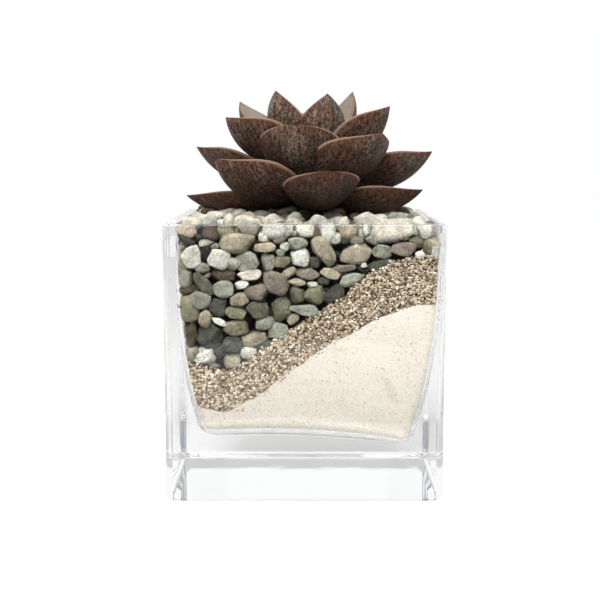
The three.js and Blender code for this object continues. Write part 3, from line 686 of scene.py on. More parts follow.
class Patch:
    """A flat patch that stones are packed on, kept as a grid of free cells."""

    def __init__(self, low, high, cell, free):
        self.cell = cell
        counts = np.ceil((np.array(high) - low) / cell).astype(int)
        self.u = low[0] + (np.arange(counts[0]) + 0.5) * cell
        self.v = low[1] + (np.arange(counts[1]) + 0.5) * cell
        grid_u, grid_v = np.meshgrid(self.u, self.v)
        self.free = free(grid_u, grid_v)

    def cover(self, u, v, length, height, tilt):
        """The window of cells under a stone, and which of them it covers."""
        reach = max(length, height) * 1.05
        i0, i1 = np.searchsorted(self.u, (u - reach, u + reach))
        j0, j1 = np.searchsorted(self.v, (v - reach, v + reach))
        du, dv = self.u[i0:i1][None] - u, self.v[j0:j1][:, None] - v
        along = du * math.cos(tilt) + dv * math.sin(tilt)
        up = dv * math.cos(tilt) - du * math.sin(tilt)
        fullness = 2.4      # 2 would be an ellipse
        covered = (np.abs(along) / length) ** fullness + (np.abs(up) / height) ** fullness < 1
        return (slice(j0, j1), slice(i0, i1)), covered

    def overlap(self, *stone):
        """The share of a stone that lies on taken cells or off the patch."""
        window, covered = self.cover(*stone)
        cells = math.pi * stone[2] * stone[3] / self.cell ** 2
        return 1 - (covered & self.free[window]).sum() / max(covered.sum(), 0.93 * cells)

    def take(self, *stone):
        """Marks the cells under a stone as taken."""
        window, covered = self.cover(*stone)
        self.free[window] &= ~covered


def pack_stones(generator, patch, longest, shortest, slack):
    """Fills a patch with stones from the largest to the smallest. A stone may lie over others by a share,
    slack."""
    stones = []
    low, high = (patch.u[0], patch.v[0]), (patch.u[-1], patch.v[-1])
    for length in np.linspace(longest, shortest, PACK_SIZES):
        for _ in range(int(PACK_TRIES * (longest / length) ** 0.8)):
            stone = (generator.uniform(low[0], high[0]), generator.uniform(low[1], high[1]),
                     length, length * generator.uniform(0.5, 0.9), generator.normal(0, 0.45))
            if patch.overlap(*stone) < slack:
                patch.take(*stone)
                stones.append(stone)
    return stones


# Pebbles that lie against the front wall: place along the wall, height, half length, half height (mm), tilt
# (degrees, right end up), depth behind the glass (mm), squareness and tone.
FRONT_STONES = [
    (-24.3, 93.2, 6.3, 3.6, 8, 0, 2.6, "tan"), (-39.8, 87.7, 3.9, 3.9, 30, 0, 2.4, "chalk"),
    (-36.0, 84.5, 2.8, 2.1, 10, 1, 2.2, "sage"), (-30.4, 87.2, 4.0, 3.5, 0, 0, 2.6, "chalk"),
    (-19.7, 86.3, 4.5, 3.6, -10, 0, 2.5, "sage"), (-25.0, 85.7, 2.6, 2.2, 0, 0.5, 2.3, "mint"),
    (-19.7, 82.0, 4.1, 1.8, 2, 0, 2.6, "cream"), (-14.0, 91.5, 3.5, 1.9, -4, 0, 2.2, "tan"),
    (-12.8, 86.4, 2.3, 3.1, 10, 0.8, 2.4, "sage"), (-7.9, 86.4, 3.0, 2.2, 25, 0.3, 2.3, "olive"),
    (-2.5, 93.1, 3.3, 2.0, 12, 0, 2.4, "mint"), (-6.9, 91.8, 1.6, 1.5, 0, 1, 2.2, "chalk"),
    (-1.7, 87.8, 3.3, 3.4, 20, 0, 2.9, "chalk"), (4.2, 95.4, 2.2, 2.2, 0, 2, 2.3, "umber"),
    (-43.0, 81.1, 2.9, 4.0, 10, 0, 2.4, "sage"), (-36.2, 78.8, 4.9, 2.3, -45, 0, 2.2, "moss"),
    (-28.6, 81.6, 4.2, 2.5, -5, 1.6, 2.3, "umber"), (-28.6, 76.5, 4.2, 3.1, 0, 0, 2.8, "mint"),
    (-22.0, 78.3, 2.3, 1.5, 15, 0, 2.3, "chalk"), (-17.0, 75.8, 4.1, 2.9, -5, 0.5, 2.3, "mauve"),
    (-9.8, 79.0, 5.2, 4.1, -35, 0, 2.3, "mauve"), (-5.4, 82.7, 2.7, 1.5, 25, 0.5, 2.2, "tan"),
    (1.1, 82.3, 4.1, 2.0, -5, 0, 2.3, "mauve"), (-2.6, 79.2, 2.9, 1.4, -3, 0.3, 2.3, "tan"),
    (-2.3, 74.6, 2.8, 2.9, 0, 0, 2.3, "moss"), (-41.2, 76.7, 3.0, 1.5, 8, 1, 2.3, "umber"),
    (-41.0, 69.7, 3.3, 4.9, 25, 0, 2.3, "olive"), (-37.2, 72.8, 3.8, 3.0, -10, 0, 2.4, "sage"),
    (-30.7, 69.8, 3.3, 3.2, 0, 0.8, 2.8, "slate"), (-23.2, 72.8, 3.2, 2.5, 5, 0, 2.3, "tan"),
    (-24.0, 68.3, 4.2, 2.2, -10, 0, 2.4, "olive"), (-16.5, 69.5, 4.0, 3.2, -5, 0, 2.6, "moss"),
    (-8.5, 69.6, 3.6, 4.4, 10, 0, 2.4, "moss"), (0.5, 69.3, 5.3, 2.0, -2, 0, 2.4, "mint"),
    (-4.2, 66.1, 2.3, 1.8, 30, 0.4, 2.2, "tan"), (-35.3, 66.1, 2.1, 3.0, -15, 0, 2.3, "tan"),
    (-30.3, 65.2, 2.8, 1.1, -25, 0, 2.4, "chalk"), (-33.5, 60.3, 4.8, 4.4, 20, 0.3, 2.4, "slate"),
    (-24.2, 62.8, 4.5, 2.7, 8, 0, 2.3, "olive"), (-14.3, 64.2, 3.5, 2.4, 10, 0, 2.4, "sage"),
    (-9.1, 61.8, 3.8, 2.8, 5, 0, 2.5, "mint"), (-17.9, 58.9, 4.5, 2.6, 12, 0, 2.3, "tan"),
    (-25.8, 57.0, 3.6, 3.0, 0, 0, 2.4, "slate"), (-40.7, 60.4, 2.1, 4.3, 0, 0, 2.5, "umber"),
    (-41.2, 54.8, 1.4, 2.6, 5, 0.5, 2.3, "sage"), (-35.7, 52.7, 3.8, 3.6, -30, 0, 2.5, "chalk"),
    (-30.7, 54.2, 3.2, 2.7, -20, 2, 2.3, "slate"), (-26.0, 50.7, 3.4, 2.7, 20, 0, 2.4, "tan"),
    (-14.2, 56.8, 3.1, 1.5, 25, 0.5, 2.3, "slate"), (-19.9, 53.8, 3.0, 2.0, 0, 0, 2.4, "chalk"),
    (7.1, 90.2, 5.4, 3.0, -52, 0, 2.3, "tan"), (18.0, 89.2, 5.7, 3.7, 2, 0, 2.6, "tan"),
    (27.0, 90.1, 3.3, 2.3, -3, 0, 3.0, "sage"), (35.1, 90.8, 4.6, 2.4, 8, 0, 2.6, "mauve"),
    (40.7, 89.1, 1.6, 1.5, 0, 0.3, 2.3, "chalk"), (45.0, 90.3, 2.6, 2.5, 0, 0, 2.5, "chalk"),
    (26.9, 85.7, 4.6, 2.1, 15, 1, 2.3, "slate"), (13.4, 84.1, 4.3, 1.3, 8, 0.3, 2.3, "mauve"),
    (9.0, 82.4, 3.4, 1.8, -18, 0, 2.3, "tan"), (3.7, 86.0, 2.7, 2.1, 0, 2, 2.3, "slate"),
    (16.6, 80.4, 4.4, 2.1, 18, 0, 2.3, "mint"), (10.7, 74.9, 4.3, 2.7, 32, 0.5, 2.2, "slate"),
    (4.2, 74.4, 4.2, 3.3, 15, 0, 2.3, "olive"), (6.7, 79.8, 2.1, 1.4, 0, 1, 2.2, "slate"),
    (20.9, 85.3, 1.1, 0.9, 0, 0, 2.2, "chalk"),
]


# Pebbles against the other walls lie in staggered rows, from the top down. Pitch, rise and half sizes in
# mm; shuffle is how far each is off its place, as a share of the pitch or rise, and tilt the range in
# degrees.
STACKED = {"rows": 6, "across": 8, "pitch": 11, "rise": 7.6, "shuffle": 0.3, "length": (4.4, 5.2),
           "height": (3, 3.7), "tilt": 24}
BED_TOP = 94.5 * MM      # top of the closely packed pebbles
PACK_CELL = 0.3 * MM     # cells of the grids that stones are packed on
PACK_SIZES = 34          # sizes of stones that are tried, from the largest down
PACK_TRIES = 60          # places tried at the largest size, and more at the smaller ones
STONE_GAP = 0.1 * MM     # between the stones and the glass
# painted light: stones that lie in the open are drawn lighter, as if lit from above
PAINTED_LIGHT_LEVEL = 1.12        # how light the stones are that lie in the open

# Loose pebbles, in the order of their nodes: tone, squareness, and how far (mm) the foot is sunk into the
# bed.
LOOSE_STONES = [
    # along the front wall
    ("ochre", 3.2, 0.4), ("umber", 3.6, 1.6), ("chalk", 2.6, 1.2), ("cream", 2.3, 0), ("chalk", 2.4, 3.0),
    ("tan", 3.2, 2.2), ("chalk", 2.4, 0), ("cream", 3.4, 2.2), ("chalk", 2.6, 1.6),
    # behind them
    ("cream", 2.4, 0), ("chalk", 2.3, 0), ("cream", 2.4, 0), ("cream", 2.5, 0), ("cream", 2.3, 0),
    ("cream", 2.3, 0), ("mint", 2.4, 0), ("chalk", 2.6, 0), ("cream", 2.4, 0), ("chalk", 2.8, 0),
    ("mint", 2.4, 0), ("chalk", 2.5, 0), ("tan", 2.4, 0),
    # along the right, the back and the left
    ("cream", 2.5, 0), ("sage", 2.5, 0), ("cream", 2.5, 0), ("cream", 2.6, 0),
]


def scattered(number, channel):
    """A repeatable value from 0 to 1 for each pair of a number and a channel."""
    wave = math.sin(number * 12.9898 + channel * 78.233) * 43758.5453
    return wave - math.floor(wave)


def stacked_stones(quarter):
    """Rows like those of FRONT_STONES for one of the other walls."""
    rows, across, shuffle = STACKED["rows"], STACKED["across"], STACKED["shuffle"]
    names = list(STONE_TONES)
    stones = []
    for row in range(rows):
        for place in range(across):
            number = (quarter * rows + row) * across + place
            aside, down, long, high, turn, kind, edge = [scattered(number, channel) for channel in range(7)]
            u = (place + 0.5 * (row % 2) + shuffle * (aside - 0.5) - across / 2 + 0.25) * STACKED["pitch"]
            z = BED_TOP / MM - STACKED["height"][0] - (row + shuffle * (down - 0.5)) * STACKED["rise"]
            length = np.interp(long, (0, 1), STACKED["length"])
            height = np.interp(high, (0, 1), STACKED["height"])
            tone = names[min(np.searchsorted(np.cumsum(STONE_SHARES), kind), len(names) - 1)]
            stones.append((u, z, length, height, STACKED["tilt"] * (turn - 0.5), 0, 2.2 + 0.7 * edge, tone))
    return stones


def quarter_turn(quarter):
    """Cosine and sine of the turn from the front wall to another."""
    return round(math.cos(quarter * math.pi / 2)), round(math.sin(quarter * math.pi / 2))


def wall_turn(quarter, tilt, nod=0.0):
    """The turn of a stone on a wall: along the wall, into the fill, and up, tilted about the way in."""
    return Matrix.Rotation(quarter * math.pi / 2, 3, "Z") @ Matrix.Rotation(nod, 3, "X") @ Matrix.Rotation(
        -tilt, 3, "Y")


def wall_centre(quarter, u, z, depth):
    """A point by one of the four walls: u along it, and depth behind its inner surface."""
    shift = bpy.context.scene.glass_settings.cavity_shift
    x, y = u, -(float(cavity_half(z)) - depth)
    cos, sin = quarter_turn(quarter)
    return np.array([x * cos - y * sin + shift, x * sin + y * cos, z])


def leaning_stones(generator, quarter, fixed, layer):
    """Stones on one wall of the cavity, between the grit and the loose pebbles: layer 0 touches the glass
    and holds the fixed ones, and the layer behind it fills the crevices and is drawn darker, a painted shade."""
    pebbles = bpy.context.scene.pebble_settings
    side_room = 0.2 * MM if quarter % 2 == 0 else 4 * MM      # the side walls leave the corners to the others
    reach = cavity_half(CUBE) - side_room
    patch_top = BED_TOP + 1 * MM

    def free(u, z):
        cos, sin = quarter_turn(quarter)
        middle = wall_centre(quarter, 0, 90 * MM, 0)
        x, y = middle[0] + u * cos, middle[1] + u * sin
        return (z > grit_top(x, y) - 0.3 * MM) & (z < patch_top) & (np.abs(u) < cavity_half(z) - side_room)
    patch = Patch((-reach, 40 * MM), (reach, patch_top), PACK_CELL, free)
    stones = []
    for u, z, length, height, tilt, depth, squareness, tone in fixed:
        u, z, length, height, depth = [v * MM for v in (u, z, length, height, depth)]
        place = wall_centre(quarter, u, z, 0)
        if z < grit_top(place[0], place[1]):
            continue
        tilt = math.radians(tilt)
        patch.take(u, z, length, height, tilt)
        length, height = length * pebbles.swelling, height * pebbles.swelling
        if cavity_half(z) - abs(u) - length < 1.2 * MM:
            length += 0.9 * MM      # pressed into the corner
        thick = min(length, height) * generator.uniform(0.85, 1.05)
        stones.append((wall_centre(quarter, u, z, 0.84 * thick + depth), (length, thick, height),
                       wall_turn(quarter, tilt), squareness, tone, 1.0))
    # what is left between the stones at the glass is filled by smaller ones, a little further in; their
    # levels are painted shade, a little darker in layer 0 and much darker in the layer behind
    longest, slack, level = (6.5 * MM, 0.1, 0.5) if layer else (4.2 * MM, 0.2, 0.9)
    for u, z, length, height, tilt in pack_stones(generator, patch, longest, pebbles.shortest, slack):
        thick = min(length, height) * generator.uniform(0.8, 1.0)
        depth = thick + generator.uniform(0.6, 1.6) * MM + layer * 4.5 * MM
        stones.append((wall_centre(quarter, u, z, depth), (length, thick, height),
                       wall_turn(quarter, tilt, generator.normal(0, 0.12)), generator.uniform(2.2, 3.0),
                       any_tone(generator), level))
    return stones


def inner_stones(generator, pitch):
    """Stones deep inside, round the root plug."""
    low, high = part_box("root_plug")
    radius = (high.x - low.x) / 2
    reach = cavity_half(CUBE) - 17 * MM      # the stones on the walls take up what is left
    places = np.arange(-reach, reach + pitch / 2, pitch)
    stones = []
    for z in np.arange(50 * MM, 94 * MM, pitch * 0.75):
        for x in places:
            for y in places:
                spot = np.array([x, y, z]) + generator.uniform(-0.2, 0.2, 3) * pitch
                beside = math.hypot(spot[0], spot[1]) > radius + 4 * MM
                clear = beside or spot[2] > high.z + 5 * MM or spot[2] < low.z - 4 * MM
                if clear and spot[2] > grit_top(spot[0], spot[1]) + 3 * MM:
                    turn = Matrix.Rotation(generator.uniform(0, math.pi), 3, "Z")
                    sizes = np.array([0.62, 0.5, 0.42]) * pitch * generator.uniform(0.9, 1.1)
                    # a level of 0.6 paints shade on the stones deep inside
                    stones.append((spot, sizes, turn, 2.3, any_tone(generator), 0.6))
    return stones


def heaped_stones(generator, layer):
    """Stones heaped on the bed round the stem, higher towards the back."""
    reach = cavity_half(CUBE) - (3 + 5 * layer) * MM
    low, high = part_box("stem")
    stem_x, stem_radius = (low.x + high.x) / 2, (high.x - low.x) / 2
    taken = [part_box(node) for node in frame["nodes"] if node.startswith("top_pebble")]

    def free(u, v):
        clear = np.hypot(u, v) > stem_radius + 1 * MM
        for box_low, box_high in taken:
            centre, half = (box_low + box_high) / 2, (box_high - box_low) / 2
            clear &= ((u + stem_x - centre.x) / half.x) ** 2 + ((v - centre.y) / half.y) ** 2 > 0.6
        return clear
    patch = Patch((-reach - stem_x, -reach), (reach - stem_x, reach), PACK_CELL, free)
    stones = []
    longest, shortest, slack = 4.6 * MM, 1.6 * MM, 0.15
    for u, v, length, width, turn in pack_stones(generator, patch, longest, shortest, slack):
        height = min(width, 2.8 * MM) * generator.uniform(0.8, 1.0)
        rise = 4 * MM * smooth_step(v, -36 * MM, -10 * MM)
        z = BED_TOP + (2.2 * layer + generator.uniform(0.6, 2.0)) * MM + rise
        pale = generator.uniform() < 0.7
        tone = ("cream", "chalk")[generator.integers(2)] if pale else any_tone(generator)
        # painted shade: deep under the leaves they are drawn darker
        level = PAINTED_LIGHT_LEVEL * (1 - 0.75 * smooth_step(math.hypot(u, v), 34 * MM, 24 * MM))
        stones.append((np.array([u + stem_x, v, z]), (length, width, height), Matrix.Rotation(turn, 3, "Z"),
                       generator.uniform(2.2, 2.9), tone, level))
    return stones


class PLANTER_OT_pebbles(bpy.types.Operator):
    """Lay the bed of river pebbles: against each wall, deep inside, heaped on top, and the loose ones."""
    bl_idname = "planter.pebbles"
    bl_label = "Pebbles"

    def execute(self, context):
        pebbles = context.scene.pebble_settings
        shift = context.scene.glass_settings.cavity_shift
        generator = np.random.default_rng(pebbles.seed)
        material = pebble_material()
        front = [(x - shift / MM, *rest) for x, *rest in FRONT_STONES]
        behind = []
        for quarter, side in enumerate(WALLS):
            fixed = stacked_stones(quarter) if quarter else front
            # painted shade darkens each wall stone away from the glass and from above
            facing = wall_turn(quarter, 0) @ Vector((0, -1, 0.35)).normalized()
            stones = leaning_stones(generator, quarter, fixed, 0)
            build_stones("pebble_bed_" + side, stones, generator, 2 if quarter else 4, material, facing,
                         stands_for=["pebble_bed"])
            behind += leaning_stones(generator, quarter, [], 1)
        behind += inner_stones(generator, pebbles.pitch)
        # painted shade darkens these stones, and those heaped on top, towards their undersides
        build_stones("pebble_bed_inside", behind, generator, 2, material, (0, 0, 1))
        heap = heaped_stones(generator, 0) + heaped_stones(generator, 1)
        build_stones("pebble_bed_top", heap, generator, 2, material, (0, 0, 1))
        slots = {part["node"]: part["material_slot"] for part in frame["record"]["subparts"]}
        # painted shade darkens each loose stone towards its underside
        facing = Vector((0, -0.3, 1)).normalized()
        for number, (tone, squareness, sunk) in enumerate(LOOSE_STONES, 1):
            node = f"top_pebble_{number:02d}"
            low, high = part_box(node)
            low.z -= sunk * MM
            sizes = np.array((high - low) / 2) * np.array([1.1, 1.1, 1.0])
            stone = (np.array((low + high) / 2), sizes, Matrix.Identity(3), squareness, tone, PAINTED_LIGHT_LEVEL)
            build_stones(f"loose_pebble_{number:02d}", [stone], generator, 4, material, facing, slots[node],
                         [node], wear=0.035, lean=0.7)
        return {"FINISHED"}


# ---- root plug and stem ----

def plug_material():
    """Potting mix of peat and bark fines: dark brown, crumbly and dead matt."""
    material, tree, where = new_material("peat_potting_mix")
    crumbs = add_node(tree, "ShaderNodeTexVoronoi", {"Vector": where, "Scale": 1 / (1.5 * MM)})
    shade = add_node(tree, "ShaderNodeValToRGB", {"Fac": crumbs.outputs["Color"]},
                     stops=[(0.0, "#1f1610"), (0.6, "#3b2a1e"), (1.0, "#5c4632")])
    bump = add_node(tree, "ShaderNodeBump", {"Height": crumbs, "Strength": 0.8, "Distance": 1 * MM})
    shader = add_node(tree, "ShaderNodeBsdfPrincipled", {
        "Base Color": shade, "Roughness": 1.0, "Normal": bump})
    add_node(tree, "ShaderNodeOutputMaterial", {"Surface": shader})
    return material


def stem_material():
    """Stem of a succulent: corky tan-brown bark with rings where leaves have dropped."""
    material, tree, where = new_material("corky_stem_bark")
    rings = add_node(tree, "ShaderNodeTexWave", {"Vector": where, "Scale": 1 / (9 * MM), "Distortion": 4.0},
                     bands_direction="Z").outputs["Fac"]
    shade = add_node(tree, "ShaderNodeValToRGB", {"Fac": rings}, stops=[(0.0, "#4c3a2c"), (1.0, "#80664e")])
    bump = add_node(tree, "ShaderNodeBump", {"Height": rings, "Strength": 0.5, "Distance": 0.5 * MM})
    shader = add_node(tree, "ShaderNodeBsdfPrincipled", {
        "Base Color": shade, "Roughness": 0.85, "Normal": bump})
    add_node(tree, "ShaderNodeOutputMaterial", {"Surface": shader})
    return material


class PLANTER_OT_roots(bpy.types.Operator):
    """Finish the root plug and the stem, whose solids have the right shape."""
    bl_idname = "planter.roots"
    bl_label = "Root plug and stem"

    def execute(self, context):
        for node, material in (("root_plug", plug_material()), ("stem", stem_material())):
            solid = frame["nodes"][node]
            solid.data.materials.clear()
            solid.data.materials.append(material)
        return {"FINISHED"}


# ---- leaves ----

class LeafSettings(bpy.types.PropertyGroup):
    """Colours and fineness of the leaves."""
    rows: IntProperty(name="Rows", description="Rings of points along a leaf", default=60)
    ring: IntProperty(name="Ring", description="Points round a leaf", default=48)
    ground: FloatVectorProperty(
        name="Ground", description="Dark ground of the leaf", subtype="COLOR", size=4,
        default=linear("#2c2019"))
    maze: FloatVectorProperty(
        name="Maze", description="Fine pale winding lines on the ground", subtype="COLOR", size=4,
        default=linear("#ac9a8d"))
    fleck: FloatVectorProperty(
        name="Warm flecks", description="The same lines where the leaf is browner", subtype="COLOR", size=4,
        default=linear("#957a66"))
    lichen: FloatVectorProperty(
        name="Green flecks", description="The same lines where the leaf is greener", subtype="COLOR", size=4,
        default=linear("#8d8b70"))
    shade: FloatVectorProperty(
        name="Foot", description="Greyer green towards the foot", subtype="COLOR", size=4,
        default=linear("#3b3f33"))
    flush: FloatVectorProperty(
        name="Flush", description="Reddish band inside the margin", subtype="COLOR", size=4,
        default=linear("#67372a"))
    margin: FloatVectorProperty(
        name="Margin", description="Thin pale line on the margin", subtype="COLOR", size=4,
        default=linear("#b0937c"))
    heart: FloatVectorProperty(
        name="Heart", description="Inner face near the stem", subtype="COLOR", size=4,
        default=linear("#7c8067"))
    inner: FloatVectorProperty(
        name="Inner face", description="Paler face towards the stem", subtype="COLOR", size=4,
        default=linear("#a39586"))


BASE_RADIUS = (1 * MM, 5 * MM)          # from the stem's axis to the foot of the innermost and outer leaves
FIRST_ANGLE = math.radians(-87.5)       # where the innermost leaf points, from +X

# One row for each leaf from the innermost outwards: degrees off the golden angle, reach and height of the
# tip, height at the stem, width, thickness (mm), bow and roll (degrees), cup (mm), yaw of the foot
# (degrees) and bluntness of the tip.
LEAVES = [
    (0, 2, 134, 124, 8, 4, 10, 0, 0, 0, 1),
    (0, 3.5, 136, 123, 11, 4.5, 15, 0, 0, 0, 1),
    (0, 5.5, 137.5, 122, 13, 5, 20, 0, 0, 0, 1),
    (0, 8, 139, 121, 16, 6, 25, 0, 0, 0, 1),
    (0, 12, 140, 120, 18, 7, 25, 0, 0, 0, 1),
    (-15, 17.5, 147.6, 120, 22, 9, 20, 0, 1, 55, 1),
    (9.5, 19.5, 148.2, 120, 19, 8, 20, 0, 1, 0, 1),
    (0, 30, 144.5, 122, 24, 9, 20, 0, 2, 0, 1),
    (0, 18.4, 146.3, 118, 20.5, 9, 22, 0, 1, -10, 1),
    (0, 27, 139, 119, 26, 9, 20, 0, 1, 0, 1),
    (2.5, 35.5, 137.6, 122, 28, 12, -10, 8, 3, 0, 1),
    (-5, 32.6, 141.9, 119, 27, 11, -5, -6, 2.5, 0, 1),
    (0, 34, 136, 118, 28, 10, 15, 0, 3, 0, 1),
    (1, 31, 134.6, 116, 31.5, 11, 12, 0, 2.2, 0, 0.5),
    (0, 36, 136, 118, 28, 10, 15, 0, 3, 0, 1),
    (3, 43.6, 126.8, 114, 27, 11, -5, 5, 3, 0, 1),
    (-5.5, 44, 131.5, 113, 29, 12, -5, -6, 2.5, 0, 1),
    (0, 42, 126, 114, 28, 10, 15, 0, 3, 0, 1),
    (-7.5, 44, 122.4, 110, 30, 13.5, 1, 6, 3, 0, 1),
    (-13, 47.8, 125, 113, 28, 12, 1, -8, 3, 0, 1),
    (0, 46, 118, 110, 28, 10, 10, 0, 3, 0, 1),
    (0, 44, 118.3, 109, 28, 11.5, 15, 0, 1.2, 0, 0.55),
    (0, 46, 116, 110, 28, 10, 10, 0, 3, 0, 1),
    (0, 48, 108.5, 106.5, 26, 9, 1, 8, 1.5, 0, 1),
    (-4.5, 49.5, 111.2, 105, 27, 9, 1, -8, 2.5, 0, 1),
    (0, 46, 110, 107.5, 26, 8, 8, 0, 2, 0, 1),
    (137.5, 47, 106, 106, 26, 8, 4, 0, 2, 0, 1),
    (137.5, 47, 105, 106, 26, 8, 4, 0, 2, 0, 1),
]


def leaf_material():
    """Thick succulent leaf under a thin wax bloom: a dark brown ground with fine pale winding lines, a
    reddish band inside the margins, greener at the foot and paler on the inner face. The wax makes it
    satin."""
    leaf = bpy.context.scene.leaf_settings
    material, tree, where = new_material("waxy_mottled_leaf")
    blade = add_node(tree, "ShaderNodeUVMap", uv_map="blade")
    tone = add_node(tree, "ShaderNodeAttribute", attribute_name="tone")
    zones = add_node(tree, "ShaderNodeSeparateColor", {"Color": tone}).outputs
    foot = tone.outputs["Alpha"]

    # winding flecks 1 mm long and half as wide, coarser than real ones so that they show, and fainter in
    # places where the wax is thin
    stretch = add_node(tree, "ShaderNodeMapping", {"Vector": blade, "Scale": (1.0 / MM, 1.9 / MM, 1)})
    winding = add_node(tree, "ShaderNodeTexNoise", {"Vector": stretch, "Scale": 1.0, "Detail": 1.0,
                                                    "Distortion": 1.4})
    line = add_node(tree, "ShaderNodeMapRange", {"Value": winding, 1: 0.4, 2: 0.62, 3: 0.0, 4: 1.0})
    patch = add_node(tree, "ShaderNodeTexNoise", {"Vector": where, "Scale": 1 / (5 * MM), "Detail": 3.0})
    wax = add_node(tree, "ShaderNodeMapRange", {"Value": patch, 1: 0.35, 2: 0.7, 3: 0.5, 4: 0.9})
    lines = add_node(tree, "ShaderNodeMath", {0: line, 1: wax}, operation="MULTIPLY")

    # the flecks are warm or green in patches 14 mm across, and lie on a ground that is greener at the foot
    broad = add_node(tree, "ShaderNodeTexNoise", {"Vector": where, "Scale": 1 / (14 * MM), "Detail": 1.0})
    pale = leaf.maze
    for tint, start, end, most in ((leaf.fleck, 0.42, 0.6, 1.0), (leaf.lichen, 0.46, 0.36, 0.7)):
        share = add_node(tree, "ShaderNodeMapRange", {"Value": broad, 1: start, 2: end, 3: 0.0, 4: most})
        pale = add_node(tree, "ShaderNodeMix", {0: share, 6: pale, 7: tint}, **BLEND)
    ground = add_node(tree, "ShaderNodeMix", {0: foot, 6: leaf.ground, 7: leaf.shade}, **BLEND)
    outer = add_node(tree, "ShaderNodeMix", {0: lines, 6: ground, 7: pale}, **BLEND)

    # streaks 1 mm apart run the length of the blade; painted shade darkens flanks turned to the ground and
    # painted light brightens those turned up
    comb = add_node(tree, "ShaderNodeMapping", {"Vector": blade, "Scale": (0.05 / MM, 1 / MM, 1)})
    streak = add_node(tree, "ShaderNodeTexNoise", {"Vector": comb, "Scale": 1.0, "Detail": 2.0})
    drawn = add_node(tree, "ShaderNodeMapRange", {"Value": streak, 1: 0.35, 2: 0.65, 3: 0.65, 4: 1.25})
    normal = add_node(tree, "ShaderNodeNewGeometry").outputs["Normal"]
    facing = add_node(tree, "ShaderNodeSeparateXYZ", {"Vector": normal}).outputs["Z"]
    painted_light_and_shade = add_node(tree, "ShaderNodeMapRange", {"Value": facing, 1: -0.85, 2: 0.1, 3: 0.4, 4: 1.25})
    level = add_node(tree, "ShaderNodeMath", {0: drawn, 1: painted_light_and_shade}, operation="MULTIPLY")
    outer = add_node(tree, "ShaderNodeMix", {0: 1.0, 6: outer, 7: level}, **SHADE)

    # the inner face has the same flecks, faint and dark
    faint = add_node(tree, "ShaderNodeMath", {0: lines, 1: 0.45}, operation="MULTIPLY")
    inner = add_node(tree, "ShaderNodeMix", {0: foot, 6: leaf.inner, 7: leaf.heart}, **BLEND)
    inner = add_node(tree, "ShaderNodeMix", {0: faint, 6: inner, 7: leaf.ground}, **BLEND)

    red = add_node(tree, "ShaderNodeMath", {0: zones["Red"], 1: 0.45}, operation="MULTIPLY")
    outer, inner = [add_node(tree, "ShaderNodeMix", {0: red, 6: face, 7: leaf.flush}, **BLEND)
                    for face in (outer, inner)]
    both = add_node(tree, "ShaderNodeMix", {0: zones["Green"], 6: outer, 7: inner}, **BLEND)
    skin = add_node(tree, "ShaderNodeMix", {0: zones["Blue"], 6: both, 7: leaf.margin}, **BLEND)
    bump = add_node(tree, "ShaderNodeBump", {"Height": line, "Strength": 0.25, "Distance": 0.15 * MM})
    shader = add_node(tree, "ShaderNodeBsdfPrincipled", {
        "Base Color": skin, "Roughness": 0.5, "Specular IOR Level": 0.12, "Normal": bump})
    add_node(tree, "ShaderNodeOutputMaterial", {"Surface": shader})
    return material


def swell(share, foot, widest, power, bluntness):
    """Rises from foot to 1 at the widest place, then falls to 0 at the tip."""
    rise = foot + (1 - foot) * np.sin(math.pi / 2 * np.minimum(share / widest, 1))
    fall = (1 - np.clip((share - widest) / (1 - widest), 0, 1) ** power) ** bluntness
    return np.where(share < widest, rise, fall)


